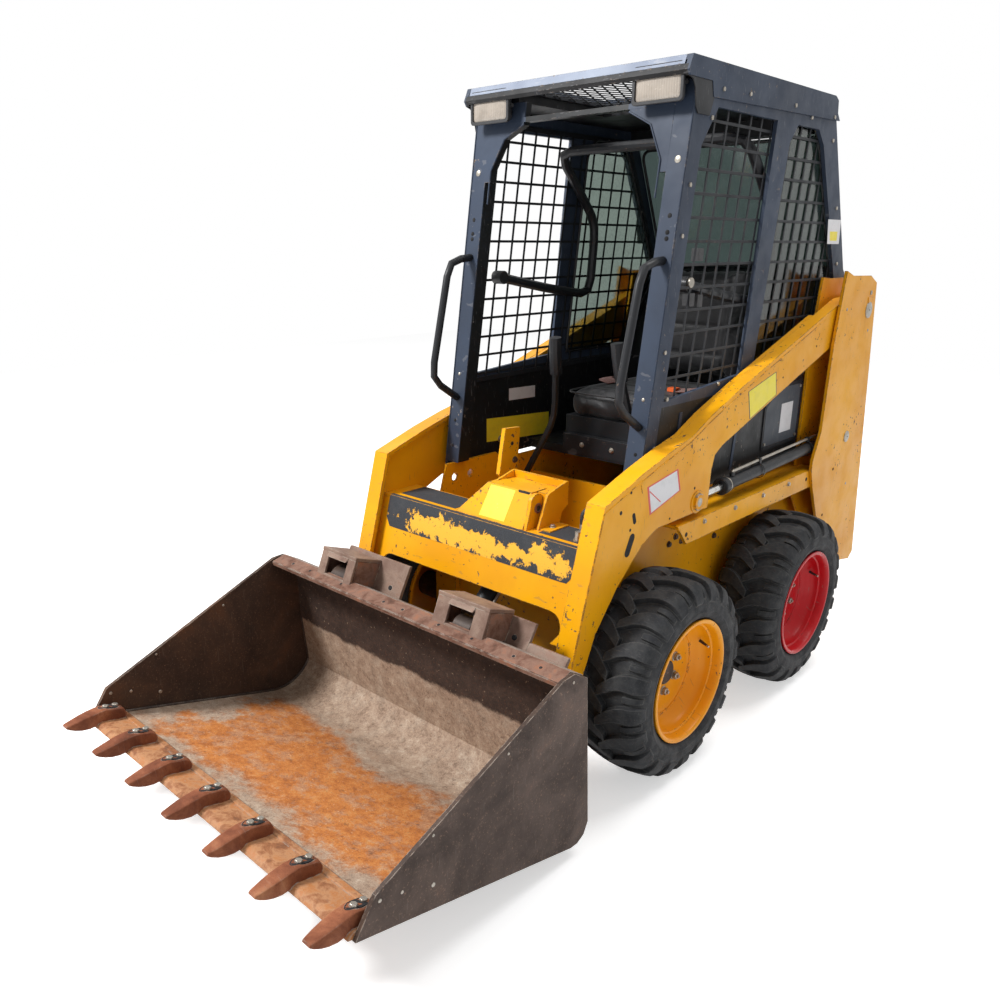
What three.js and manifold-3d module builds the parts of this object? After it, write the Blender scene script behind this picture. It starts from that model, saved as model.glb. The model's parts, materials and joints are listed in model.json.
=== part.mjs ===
// Compact skid steer loader with a toothed bucket, in millimetres.
// +Z is up and the machine faces -Y, so the operator's left hand is on +X.
// Inside this file Y = 0 is half way between the axles and Z = 0 is the ground;
// the finished group is then moved so that its box stands centred on the origin.
import * as THREE from "three";
import { mergeVertices } from "three/addons/utils/BufferGeometryUtils.js";
import Module from "manifold-3d";

const wasm = await Module();
wasm.setup();

// ---------- driving dimensions ----------
const SEAT_GAP = 0.3; // between fixed pieces that touch
const RUN_GAP = 5.5; // between pieces that move past each other
const PIN_GAP = 1; // radial play of a pin in its bore
const SIDE_PLAY = 0.8; // between faces that turn on each other
const ROUND = 28; // sides of a full circle

const wheelbase = 723;
const tyreRadius = 286;
const tyreWidth = 216;
const track = 934; // between the tyres' middle planes
const rimRadius = 168;
const rimWall = 7;
const rimDish = 92; // disc behind the wheel's outer face
const axleRadius = 42;

const cabHalfWidth = 364;
const chassisHalfWidth = cabHalfWidth - 34; // the cab's posts stand on the side plates
const chassisWall = 8;
const chassisFront = -430;
const chassisRear = 985;
const bellyHeight = 150;
const bellyTop = bellyHeight + 8;
const chainCaseTop = 420;
const chainCaseWidth = 90;
const sideTop = 712;
const railTop = 738; // the raised front stretch of the side plates

const cabWall = 12;
const postWidth = 56;
const roofTop = 1810;
const roofThickness = 46;
const roofFront = -262;
const cabBase = 716;
const grilleThickness = 5;
const glassThickness = 6;

const towerInnerWall = 8;
const towerOuterWall = 10;
const towerInnerFace = 373; // the side of the slot that holds the arm
const armInner = 388;
const armOuter = 428;
const flangeInner = 372;
const armPlate = 6; // each cheek beside the lift rod's eye

const armPivot = [880, 1179];
const liftBase = [840, 745];
const liftEye = [-161, 717];
const bucketHinge = [-750, 130];
const tiltBase = [-400, 640];
const tiltEye = [-750, 290];
const tiltX = 30;

const armPinRadius = 22;
const liftPinRadius = 14;
const bucketPinRadius = 18;
const liftBarrelRadius = 23;
const liftRodRadius = 12;
const tiltBarrelRadius = 27;
const tiltRodRadius = 16;

const bucketHalfWidth = 559;
const bucketSide = 10;
const bucketFloor = 12;
const bucketBack = 10;
const bucketDepth = 667;
const bucketHeight = 436;
const bucketRollBack = 15; // degrees that the resting bucket is tipped back
const bucketHeel = [-854, 35];
const toothCount = 7;
const toothWidth = 56;
const toothReach = 80; // past the cutting edge

const RAD = Math.PI / 180;

// ---------- solids ----------
function solid(geometry) {
  const plain = geometry.index ? geometry.toNonIndexed() : geometry;
  plain.deleteAttribute("normal");
  plain.deleteAttribute("uv");
  const merged = mergeVertices(plain, 1e-4);
  return new wasm.Manifold(
    new wasm.Mesh({
      numProp: 3,
      vertProperties: new Float32Array(merged.attributes.position.array),
      triVerts: new Uint32Array(merged.index.array),
    }),
  );
}

const join = (...pieces) => pieces.reduce((a, b) => a.add(b));
const cut = (base, ...tools) => tools.reduce((a, b) => a.subtract(b), base);

function box(x, y, z) {
  const size = [x, y, z].map(([low, high]) => high - low);
  const middle = [x, y, z].map(([low, high]) => (low + high) / 2);
  return solid(new THREE.BoxGeometry(...size).translate(...middle));
}

// Swaps a shape's own x, y, depth into the machine's Y, Z, X.
const sideways = new THREE.Matrix4().set(0, 0, 1, 0, 1, 0, 0, 0, 0, 1, 0, 0, 0, 0, 0, 1);

function shapeOf(points, holes = []) {
  const shape = new THREE.Shape(points.map(([a, b]) => new THREE.Vector2(a, b)));
  shape.holes = holes.map((hole) => new THREE.Path(hole.map(([a, b]) => new THREE.Vector2(a, b))));
  return shape;
}

// A flat plate whose outline lies in the side view, from x = low to x = high.
function slab(points, [low, high], holes) {
  const made = new THREE.ExtrudeGeometry(shapeOf(points, holes), {
    depth: high - low,
    bevelEnabled: false,
  });
  return solid(made.applyMatrix4(sideways).translate(low, 0, 0));
}

// A plate whose outline lies in the plan view, from z = low to z = high.
function layer(points, [low, high], holes) {
  const made = new THREE.ExtrudeGeometry(shapeOf(points, holes), {
    depth: high - low,
    bevelEnabled: false,
  });
  return solid(made.translate(0, 0, low));
}

// A plate whose outline lies in the front view (x, z), from y = low to y = high.
function wall(points, [low, high], holes) {
  const made = new THREE.ExtrudeGeometry(shapeOf(points, holes), {
    depth: high - low,
    bevelEnabled: false,
  });
  return solid(made.rotateX(Math.PI / 2).translate(0, high, 0));
}

// A round bar across the machine at (y, z).
function crossBar(radius, [low, high], [y, z], sides = ROUND) {
  const bar = new THREE.CylinderGeometry(radius, radius, high - low, sides);
  return solid(bar.rotateZ(Math.PI / 2).translate((low + high) / 2, y, z));
}

// A round bar in a side plane at x, from one (y, z) point towards another.
function sideBar(radius, x, from, to, start, end, sides = ROUND) {
  const run = new THREE.Vector3(0, to[0] - from[0], to[1] - from[1]).normalize();
  const bar = new THREE.CylinderGeometry(radius, radius, end - start, sides);
  bar.applyQuaternion(new THREE.Quaternion().setFromUnitVectors(new THREE.Vector3(0, 1, 0), run));
  const middle = (start + end) / 2;
  return solid(bar.translate(x, from[0] + run.y * middle, from[1] + run.z * middle));
}

// A bent round tube through points, with each inner corner rounded.
function tube(points, radius, bend, sides = 10) {
  const path = new THREE.CurvePath();
  const at = points.map((p) => new THREE.Vector3(...p));
  let last = at[0];
  for (let i = 1; i < at.length - 1; i++) {
    const back = at[i - 1].clone().sub(at[i]).setLength(bend);
    const ahead = at[i + 1].clone().sub(at[i]).setLength(bend);
    const entry = at[i].clone().add(back);
    const leave = at[i].clone().add(ahead);
    path.add(new THREE.LineCurve3(last, entry));
    path.add(new THREE.QuadraticBezierCurve3(entry, at[i], leave));
    last = leave;
  }
  path.add(new THREE.LineCurve3(last, at[at.length - 1]));
  const section = new THREE.Shape();
  section.absarc(0, 0, radius, 0, Math.PI * 2, false);
  const steps = Math.round(path.getLength() / 42);
  return solid(
    new THREE.ExtrudeGeometry(section, {
      steps,
      curveSegments: sides / 2,
      extrudePath: path,
      bevelEnabled: false,
    }),
  );
}

// A ring or disc turned about the x axis through (y, z); profile points are [x, radius].
function turned(profile, [y, z], sides = ROUND) {
  const points = profile.map(([x, r]) => new THREE.Vector2(r, x));
  if (THREE.ShapeUtils.isClockWise(points)) points.reverse();
  points.push(points[0].clone());
  const made = new THREE.LatheGeometry(points, sides);
  return solid(made.rotateZ(-Math.PI / 2).translate(0, y, z));
}

const mirrored = (made) => made.mirror([1, 0, 0]);

function arc([y, z], radius, from, to, steps) {
  const points = [];
  for (let i = 0; i <= steps; i++) {
    const angle = (from + ((to - from) * i) / steps) * RAD;
    points.push([y + radius * Math.cos(angle), z + radius * Math.sin(angle)]);
  }
  return points;
}

// ---------- finishes ----------
const finish = (color, roughness, metalness) =>
  new THREE.MeshStandardMaterial({ color, roughness, metalness });
const yellow = () => finish("#f2a812", 0.45, 0);
const cabBlue = () => finish("#3f4a5a", 0.5, 0.1);
const black = () => finish("#1c1d20", 0.6, 0);
const darkSteel = () => finish("#3e342e", 0.7, 0.5);
const rustSteel = () => finish("#96552a", 0.85, 0.3);
const bareSteel = () => finish("#b8b6ae", 0.3, 0.9);
const rubber = () => finish("#232528", 0.9, 0);
const rimYellow = () => finish("#f5960a", 0.45, 0);
const rimRed = () => finish("#c8141e", 0.45, 0);
const glass = () => finish("#9fb8a8", 0.1, 0);
const lamp = () => finish("#c8beaa", 0.2, 0);
const cushion = () => finish("#1b1b1d", 0.8, 0);

const machine = new THREE.Group();

function add(name, made, material) {
  const { vertProperties, triVerts } = made.getMesh();
  const geometry = new THREE.BufferGeometry();
  geometry.setAttribute("position", new THREE.BufferAttribute(vertProperties, 3));
  geometry.setIndex(new THREE.BufferAttribute(triVerts, 1));
  geometry.computeVertexNormals();
  const mesh = new THREE.Mesh(geometry, material);
  mesh.name = name;
  machine.add(mesh);
  return mesh;
}

// Adds a left piece and its mirror image on the right.
function addPair(name, made, material) {
  add(`left_${name}`, made, material());
  add(`right_${name}`, mirrored(made), material());
}

// ---------- chassis ----------
const caseInner = chassisHalfWidth - chainCaseWidth;
const caseFront = chassisFront - 20;
const caseRear = wheelbase / 2 + 150;
const frontPlate = [chassisFront, chassisFront + chassisWall];
const sillTop = sideTop - 74;
const crossTop = 530;

function chassisSide() {
  const plate = slab(
    [
      [chassisFront, bellyHeight],
      [chassisRear, bellyHeight + 60],
      [chassisRear, sideTop],
      [-140, sideTop],
      [-170, railTop],
      [chassisFront + 30, railTop],
      [chassisFront, sillTop],
    ],
    [chassisHalfWidth - chassisWall, chassisHalfWidth],
  );
  const holes = [-365, -295].map((y) =>
    crossBar(13, [chassisHalfWidth - 40, chassisHalfWidth + 10], [y, sideTop - 22], 16),
  );
  const chainCase = box(
    [caseInner, chassisHalfWidth - 1],
    [caseFront, caseRear],
    [bellyHeight, chainCaseTop],
  );
  return join(cut(plate, ...holes), chainCase);
}

function chassisFrame() {
  const side = chassisSide();
  const innerHalf = chassisHalfWidth - 1;
  const belly = box([-innerHalf, innerHalf], [chassisFront, chassisRear - 40], [bellyHeight, bellyTop]);
  const front = box([-innerHalf, innerHalf], frontPlate, [bellyHeight, crossTop]);
  const footwell = box([-innerHalf, innerHalf], [20, 28], [bellyHeight, 640]);
  const tab = join(
    slab(
      [
        [-420, sillTop - 40],
        [-350, sillTop - 40],
        [-350, 801],
        [-343, 884],
        [-407, 888],
        [-432, 756],
        [-420, 745],
      ],
      [-82, -68],
    ),
    box([-130, -50], [chassisFront + 1, -350], [crossTop - 12, crossTop]),
    box([-82, -68], [-424, -350], [crossTop - 8, sillTop - 38]),
  );
  const eye = crossBar(6, [-90, -60], [-377, 840], 16);
  const cross = box([-innerHalf, innerHalf], [chassisFront + 1, -412], [crossTop - 30, crossTop]);
  return join(side, mirrored(side), belly, front, footwell, cut(tab, eye), cross);
}
add("chassis_frame", chassisFrame(), yellow());

const engineHalf = caseInner - 50;
add(
  "engine_block",
  join(
    box([-engineHalf, engineHalf], [430, 930], [bellyTop + SEAT_GAP, 620]),
    box([-120, 150], [470, 900], [610, 705]),
  ),
  black(),
);

const axleInner = chassisHalfWidth + SEAT_GAP;
const wheelOuter = (track + tyreWidth) / 2;
const discOuter = wheelOuter - rimDish;
const discInner = discOuter - 12;
for (const [end, y] of [
  ["front", -wheelbase / 2],
  ["rear", wheelbase / 2],
]) {
  const at = [y, tyreRadius];
  const axle = join(
    crossBar(axleRadius, [axleInner, discInner - SIDE_PLAY], at, 24),
    crossBar(axleRadius + 38, [axleInner, axleInner + 14], at, 24),
  );
  add(`left_${end}_axle`, axle, darkSteel());
  add(`right_${end}_axle`, mirrored(axle), darkSteel());
}

// ---------- uprights that carry the arms ----------
const towerOuterFace = armOuter + RUN_GAP;
const towerOutline = [
  [653, 1311],
  [621, 1080],
  [612, 799],
  [572, 700],
  [572, 668],
  [598, 604],
  [664, 487],
  [949, 245],
  [1044, 226],
  [1075, 251],
  [923, 1267],
  [862, 1292],
  [710, 1295],
];
const innerOutline = [
  [640, 1290],
  [604, 1080],
  [604, 560],
  [680, 470],
  [949, 245],
  [1044, 226],
  [1075, 251],
  [923, 1267],
  [862, 1285],
  [710, 1285],
];
const fenderTop = 668;
const fenderWall = 10;
const fenderFront = -263;

function fender() {
  const lip = slab(
    [
      [fenderFront, fenderTop],
      [fenderFront + 52, fenderTop - 62],
      [640, fenderTop - 62],
      [640, fenderTop],
    ],
    [towerOuterFace - fenderWall, towerOuterFace],
  );
  const top = box(
    [chassisHalfWidth + SEAT_GAP, towerOuterFace - 1],
    [fenderFront + 4, 640],
    [fenderTop - fenderWall, fenderTop],
  );
  return join(lip, top);
}

function tower() {
  const outer = slab(towerOutline, [towerOuterFace, towerOuterFace + towerOuterWall]);
  const inner = slab(innerOutline, [towerInnerFace - towerInnerWall, towerInnerFace]);
  const web = slab(
    [
      [950, 1075],
      [1062, 330],
      [1075, 251],
      [1044, 226],
      [949, 245],
      [760, 405],
      [764, 414],
      [955, 262],
      [1040, 243],
      [1060, 262],
      [940, 1075],
    ],
    [towerInnerFace - 1, towerOuterFace + 1],
  );
  const fill = [towerInnerFace - towerInnerWall, towerOuterFace + towerOuterWall + 4];
  const armPin = crossBar(armPinRadius, fill, armPivot);
  const base = crossBar(liftPinRadius, fill, liftBase);
  return join(outer, inner, web, armPin, base, fender());
}
addPair("upright", tower(), yellow);

const rearInner = towerInnerFace - towerInnerWall - SEAT_GAP;
add(
  "rear_bumper",
  join(
    box([-rearInner, rearInner], [985 + SEAT_GAP, 1040], [228, 330]),
    box([-rearInner, -chassisHalfWidth - SEAT_GAP], [900, 1000], [240, 330]),
    box([chassisHalfWidth + SEAT_GAP, rearInner], [900, 1000], [240, 330]),
  ),
  yellow(),
);

// ---------- engine covers ----------
const hoodFront = 838;
add(
  "engine_hood",
  join(
    slab(
      [
        [hoodFront, 1290],
        [hoodFront, 1278],
        [880, 1262],
        [972, 960],
        [984, 960],
        [892, 1272],
      ],
      [-rearInner, rearInner],
    ),
    slab(
      [
        [846, 1284],
        [888, 1268],
        [978, 962],
        [846, 962],
      ],
      [rearInner - 12, rearInner],
    ),
    slab(
      [
        [846, 1284],
        [888, 1268],
        [978, 962],
        [846, 962],
      ],
      [-rearInner, 12 - rearInner],
    ),
  ),
  black(),
);

const gateThickness = 34;
const gateFace = 992;
const gateHalf = 300;
const gateBase = 342;
const gateTop = 945;
const gateHinge = [gateHalf + 3, gateFace + gateThickness + 8];
const knuckleRadius = 7;
const knuckleHeight = 40;
const knuckles = [gateBase + 100, gateTop - 140];

function knuckle(low, height) {
  const barrelShape = new THREE.CylinderGeometry(knuckleRadius, knuckleRadius, height, 16);
  return solid(barrelShape.rotateX(Math.PI / 2).translate(...gateHinge, low + height / 2));
}

function tailgate() {
  const panel = box([-gateHalf, gateHalf], [gateFace, gateFace + gateThickness], [gateBase, gateTop]);
  const louvres = box([-190, 190], [gateFace + 12, gateFace + gateThickness + 5], [560, 860]);
  const hinges = knuckles.map((z) =>
    join(
      knuckle(z, knuckleHeight),
      box([gateHalf - 26, gateHalf + 2], [gateHinge[1] - 9, gateHinge[1] - 1], [z, z + knuckleHeight]),
    ),
  );
  return join(cut(panel, louvres), ...hinges);
}
add("tailgate", tailgate(), yellow());
// Door posts beside the tailgate; its hinges turn on the left one.
const gatePost = join(
  box([gateHalf + RUN_GAP, rearInner], [gateFace, gateFace + 22], [330 + SEAT_GAP, 958]),
  box([gateHalf + RUN_GAP, rearInner], [940, gateFace + 1], [900, 960 - SEAT_GAP]),
);
const postKnuckles = knuckles.flatMap((z) =>
  [z - 12 - SIDE_PLAY, z + knuckleHeight + SIDE_PLAY].map((low) =>
    join(
      knuckle(low, 12),
      box([gateHinge[0], gateHinge[0] + 16], [gateFace + 21, gateHinge[1] + 4], [low, low + 12]),
    ),
  ),
);
add("left_gate_post", join(gatePost, ...postKnuckles), black());
add("right_gate_post", mirrored(gatePost), black());

// ---------- cab ----------
const sideWall = [cabHalfWidth - cabWall, cabHalfWidth];
const postFoot = [-366, 735];
const postHead = [-211, 1745];
const postSlope = (postHead[0] - postFoot[0]) / (postHead[1] - postFoot[1]);
const postFace = (z) => postFoot[0] + (z - postFoot[1]) * postSlope;
const roofUnder = roofTop - roofThickness;
const rearHead = 590;
const rearKnee = [806, 1300];
const cabRear = 832;
const postBase = railTop + SEAT_GAP;
const windowBase = 1000;
const windowTop = 1712;
const postDepth = 58;
const midPost = [223, 294];

function cabSide() {
  const outline = [
    [postFace(cabBase), cabBase],
    [596, cabBase],
    [596, 985],
    [cabRear - 4, 1240],
    [cabRear - 4, 1300],
    [rearKnee[0] + 8, rearKnee[1] + 12],
    [rearHead + 12, roofUnder],
    [postFace(roofUnder), roofUnder],
  ];
  const front = [
    [postFace(windowBase) + postDepth, windowBase],
    [midPost[0] - 77, windowBase + 30],
    [midPost[0], windowTop],
    [postFace(windowTop) + postDepth + 55, windowTop],
    [postFace(windowTop - 90) + postDepth, windowTop - 90],
  ];
  const rear = [
    [midPost[0], windowBase + 40],
    [560, windowBase + 40],
    [rearKnee[0] - 60, 1280],
    [rearHead - 50, windowTop - 40],
    [rearHead - 95, windowTop],
    [midPost[1] + 60, windowTop],
    [midPost[1] + 16, windowTop - 50],
  ];
  return slab(outline, sideWall, [front, rear]);
}

function frontPost() {
  const inner = cabHalfWidth - postWidth;
  return slab(
    [
      [postFace(postBase), postBase],
      [postFace(postBase) + postDepth - 8, postBase],
      [postFace(roofUnder) + postDepth - 8, roofUnder],
      [postFace(roofUnder), roofUnder],
    ],
    [inner, cabHalfWidth],
  );
}

function cabFrame() {
  const side = cabSide();
  const post = frontPost();
  const inner = cabHalfWidth - postWidth;
  const headFront = postFace(roofUnder - 60);
  const header = slab(
    [
      [headFront, roofUnder - 52],
      [headFront + 26, roofUnder - 52],
      [headFront + 28, roofUnder - 39],
      [headFront + 2, roofUnder - 39],
    ],
    [-inner - 1, inner + 1],
  );
  // each gusset is a flat triangle that leans with the posts
  const brace = slab(
    [
      [postFace(1560), 1560],
      [postFace(1560) + 26, 1560],
      [headFront + 34, roofUnder],
      [headFront + 8, roofUnder],
    ],
    [inner - 130, inner + 1],
  );
  const corner = wall(
    [
      [inner - 140, 1500],
      [inner - 20, 1500],
      [inner - 20, 1590],
      [inner - 62, 1672],
      [inner - 140, 1710],
    ],
    [-400, 0],
  );
  const gusset = cut(brace, corner);
  const half = join(side, post, gusset);
  const floor = join(
    box([-sideWall[0] - 1, sideWall[0] + 1], [30, 590], [cabBase + 20, cabBase + 32]),
    box([-sideWall[0] - 1, sideWall[0] + 1], [30, 42], [cabBase + 4, cabBase + 24]),
  );
  const rearBeam = slab(
    [
      [rearHead - 30, roofUnder - 50],
      [rearHead + 34, roofUnder - 50],
      [rearHead + 12, roofUnder],
      [rearHead - 30, roofUnder],
    ],
    [-sideWall[0] - 1, sideWall[0] + 1],
  );
  const rearSill = slab(
    [
      [rearKnee[0] - 26, rearKnee[1] - 50],
      [cabRear - 6, rearKnee[1] - 50],
      [cabRear - 6, rearKnee[1] - 4],
      [rearKnee[0] + 4, rearKnee[1] + 12],
      [rearKnee[0] - 26, rearKnee[1] - 2],
    ],
    [-sideWall[0] - 1, sideWall[0] + 1],
  );
  const rearWall = slab(
    [
      [572, cabBase + 22],
      [584, cabBase + 22],
      [586, 985],
      [rearKnee[0] - 10, 1251],
      [rearKnee[0] - 26, 1256],
      [574, 992],
    ],
    [-sideWall[0] - 1, sideWall[0] + 1],
  );
  return join(half, mirrored(half), header, floor, rearBeam, rearSill, rearWall);
}
add("cab_frame", cabFrame(), cabBlue());

const overhangUnder = roofTop - 12;
const overhangBack = postFace(roofUnder) - 6;
const lightX = cabHalfWidth - 86;
const lightWidth = 146;
const lightDepth = 36;
const skylight = [
  [-200, -222],
  [200, -222],
  [200, 190],
  [-200, 190],
];
function roof() {
  const top = slab(
    [
      [roofFront, roofTop - 34],
      [roofFront + 8, roofUnder + SEAT_GAP],
      [rearHead + 14, roofUnder + SEAT_GAP],
      [rearHead + 8, roofTop - 10],
      [rearHead - 14, roofTop],
      [roofFront + 16, roofTop],
    ],
    [-cabHalfWidth - 5, cabHalfWidth + 5],
  );
  const well = layer(skylight, [roofUnder - 20, roofTop + 5]);
  const fascia = slab(
    [
      [-150, roofUnder + 1],
      [-140, roofUnder - 34],
      [rearHead + 34, roofUnder - 18],
      [rearHead + 14, roofUnder + 1],
    ],
    [cabHalfWidth + SEAT_GAP, cabHalfWidth + 5],
  );
  // the overhang is a thin sheet with a folded lip, and the lamps sit up under it
  const overhang = box([-cabHalfWidth + 8, cabHalfWidth - 8], [roofFront + 6, overhangBack], [roofUnder - 20, overhangUnder]);
  return join(cut(top, well, overhang), fascia, mirrored(fascia));
}
add("cab_roof", roof(), cabBlue());

addPair(
  "work_light",
  join(
    box(
      [lightX - lightWidth / 2, lightX + lightWidth / 2],
      [roofFront + 8, roofFront + 8 + lightDepth],
      [overhangUnder - 86, overhangUnder - 4],
    ),
    box([lightX - 14, lightX + 14], [roofFront + 14, roofFront + 36], [overhangUnder - 6, overhangUnder - SEAT_GAP]),
  ),
  lamp,
);

const grilleFace = sideWall[0] - SEAT_GAP;
addPair(
  "side_grille",
  slab(
    [
      [postFace(windowBase - 20) + postDepth - 4, windowBase - 20],
      [556, windowBase - 6],
      [rearKnee[0] - 44, 1264],
      [rearKnee[0] - 44, 1310],
      [rearHead - 44, windowTop + 14],
      [postFace(windowTop + 14) + postDepth - 4, windowTop + 14],
    ],
    [grilleFace - grilleThickness, grilleFace],
  ),
  black,
);

const glassLean = (rearKnee[0] - rearHead) / (rearKnee[1] - roofUnder);
const glassY = (z) => rearHead + 6 + (z - roofUnder) * glassLean;
add(
  "rear_window",
  slab(
    [
      [glassY(rearKnee[1] + 12) - 2, rearKnee[1] + 12],
      [glassY(rearKnee[1] + 12) + glassThickness - 2, rearKnee[1] + 12],
      [glassY(roofUnder - 52) + glassThickness - 2, roofUnder - 52],
      [glassY(roofUnder - 52) - 2, roofUnder - 52],
    ],
    [SEAT_GAP - sideWall[0], sideWall[0] - SEAT_GAP],
  ),
  glass(),
);

// ---------- seat and controls ----------
const floorTop = cabBase + 32;
const seatFront = 60;
const seatBack = 470;
add(
  "seat_base",
  box([-215, 215], [seatFront, seatBack], [floorTop + SEAT_GAP, floorTop + 100]),
  black(),
);
const cushionBase = floorTop + 100 + SEAT_GAP;
add(
  "seat_cushion",
  box([-225, 225], [seatFront - 20, seatBack + 20], [cushionBase, cushionBase + 95]),
  cushion(),
);
add(
  "seat_backrest",
  slab(
    [
      [seatBack - 30, cushionBase + 95 + SEAT_GAP],
      [seatBack + 40, cushionBase + 95 + SEAT_GAP],
      [seatBack + 130, cushionBase + 470],
      [seatBack + 60, cushionBase + 480],
    ],
    [-215, 215],
  ),
  cushion(),
);

const barRadius = 15;
const barX = grilleFace - grilleThickness - barRadius - 4;
add(
  "seat_bar",
  join(
    tube(
      [
        [barX, -150, 1292],
        [barX, 85, 1251],
        [barX, 318, 1222],
        [barX, 338, 1460],
        [barX, 128, 1668],
        [-barX, 128, 1668],
        [-barX, 338, 1460],
        [-barX, 318, 1222],
        [-barX, 85, 1251],
        [-barX, -150, 1292],
      ],
      barRadius,
      55,
    ),
    crossBar(20, [barX - 18, grilleFace - grilleThickness - SEAT_GAP], [-150, 1292], 20),
    crossBar(20, [-grilleFace + grilleThickness + SEAT_GAP, 18 - barX], [-150, 1292], 20),
  ),
  black(),
);

const leverX = 150;
const footX = chassisHalfWidth - 70;
const leverFoot = chainCaseTop + SEAT_GAP;
const lever = join(
  tube(
    [
      [footX, -110, leverFoot + 1],
      [footX, -110, 640],
      [leverX, -80, 860],
      [leverX - 30, -118, 1040],
    ],
    11,
    50,
    8,
  ),
  box([footX - 25, footX + 25], [-150, -70], [leverFoot, leverFoot + 12]),
  tube(
    [
      [leverX - 26, -112, 1010],
      [leverX - 32, -124, 1060],
      [leverX - 36, -132, 1122],
    ],
    19,
    20,
    10,
  ),
);
addPair("steering_lever", lever, black);

const handleX = cabHalfWidth - postWidth / 2 + 1;
const handleRadius = 11;
const handle = tube(
  [
    [handleX, postFace(1352) - SEAT_GAP, 1352],
    [handleX, postFace(1344) - 88, 1344],
    [handleX, postFace(1006) - 118, 1006],
    [handleX, postFace(938) - SEAT_GAP, 938],
  ],
  handleRadius,
  40,
);
addPair(
  "grab_handle",
  cut(handle, slab(
    [
      [postFace(700) - SEAT_GAP, 700],
      [0, 700],
      [0, 1700],
      [postFace(1700) - SEAT_GAP, 1700],
    ],
    [handleX - 40, handleX + 40],
  )),
  black,
);

// ---------- lift arms ----------
const bossRadius = 52;
const legEnd = 34;
const legFront = (z) => -598 - ((798 - z) * 109) / 377;
const armOutline = [
  ...arc(armPivot, bossRadius, -70, 95, 10),
  [700, 1222],
  [53, 1013],
  [-117, 952],
  [-214, 908],
  [-326, 882],
  [-440, 850],
  [-598, 798],
  [-707, 421],
  [-744, 270],
  ...arc(bucketHinge, legEnd, 175, 350, 8),
  [-694, 200],
  [-674, 287],
  [-659, 374],
  [-615, 470],
  [-531, 569],
  [-429, 657],
  [-360, 687],
  [-100, 687],
  [-95, 796],
  [-82, 836],
  [-43, 858],
  [680, 1088],
];

function arm() {
  const plate = slab(armOutline, [armInner, armOuter]);
  const flange = slab(
    [
      [560, 1176],
      [53, 1012],
      [-117, 951],
      [-214, 907],
      [-326, 882],
      [-440, 850],
      [-598, 798],
      [-707, 421],
      [-694, 421],
      [-588, 789],
      [-438, 838],
      [-324, 870],
      [-212, 895],
      [-114, 939],
      [56, 1000],
      [560, 1166],
    ],
    [flangeInner, armInner + 1],
  );
  const eyeSlot = box(
    [armInner + armPlate, armOuter - armPlate],
    [liftEye[0] - 42, 0],
    [600, liftEye[1] + 44],
  );
  const boss = crossBar(22, [armOuter - 1, towerOuterFace + 4], liftEye, 24);
  const armBore = crossBar(armPinRadius + PIN_GAP, [armInner - 5, armOuter + 5], armPivot);
  const hingeBore = crossBar(bucketPinRadius + PIN_GAP, [armInner - 5, armOuter + 5], bucketHinge);
  return join(cut(join(plate, flange), eyeSlot, armBore, hingeBore), boss);
}
addPair("lift_arm", arm(), yellow);

const crossHalf = armInner - SEAT_GAP;
const panelWall = 12;
const stepTop = 675;
const panelAt = (z) => legFront(z) + 32;
const slotHalf = tiltBarrelRadius + 22;
const archTop = 508;
const archRound = 40;
function crossMember() {
  const front = slab(
    [
      [panelAt(stepTop), stepTop],
      [panelAt(430), 430],
      [panelAt(430) + panelWall, 430],
      [panelAt(stepTop) + panelWall, stepTop],
    ],
    [-crossHalf, crossHalf],
  );
  const arch = wall(
    [
      [-320, 420],
      [320, 420],
      [350, 460],
      ...arc([310, archTop - archRound], archRound, 0, 90, 4),
      ...arc([-310, archTop - archRound], archRound, 90, 180, 4),
      [-350, 460],
    ],
    [-760, -560],
  );
  const top = box([-crossHalf, crossHalf], [panelAt(stepTop) + 1, -470], [stepTop - panelWall, stepTop]);
  const back = box([-crossHalf, crossHalf], [-482, -470], [stepTop - 95, stepTop]);
  const passage = box(
    [tiltX - slotHalf, tiltX + slotHalf],
    [-520, -440],
    [stepTop - 120, stepTop + 5],
  );
  const ear = slab(
    [
      [-600, stepTop - 30],
      [-560, stepTop - 100],
      [-430, 606],
      ...arc(tiltBase, 34, -60, 90, 6),
      [-470, stepTop],
      [-600, stepTop],
    ],
    [0, 12],
  );
  const ears = [tiltX - slotHalf - 12, tiltX + slotHalf].map((x) => ear.translate([x, 0, 0]));
  const pin = crossBar(liftPinRadius, [tiltX - slotHalf - 18, tiltX + slotHalf + 18], tiltBase, 24);
  return join(cut(front, arch), cut(join(top, back), passage), ...ears, pin);
}
add("cross_member", crossMember(), yellow());

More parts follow.
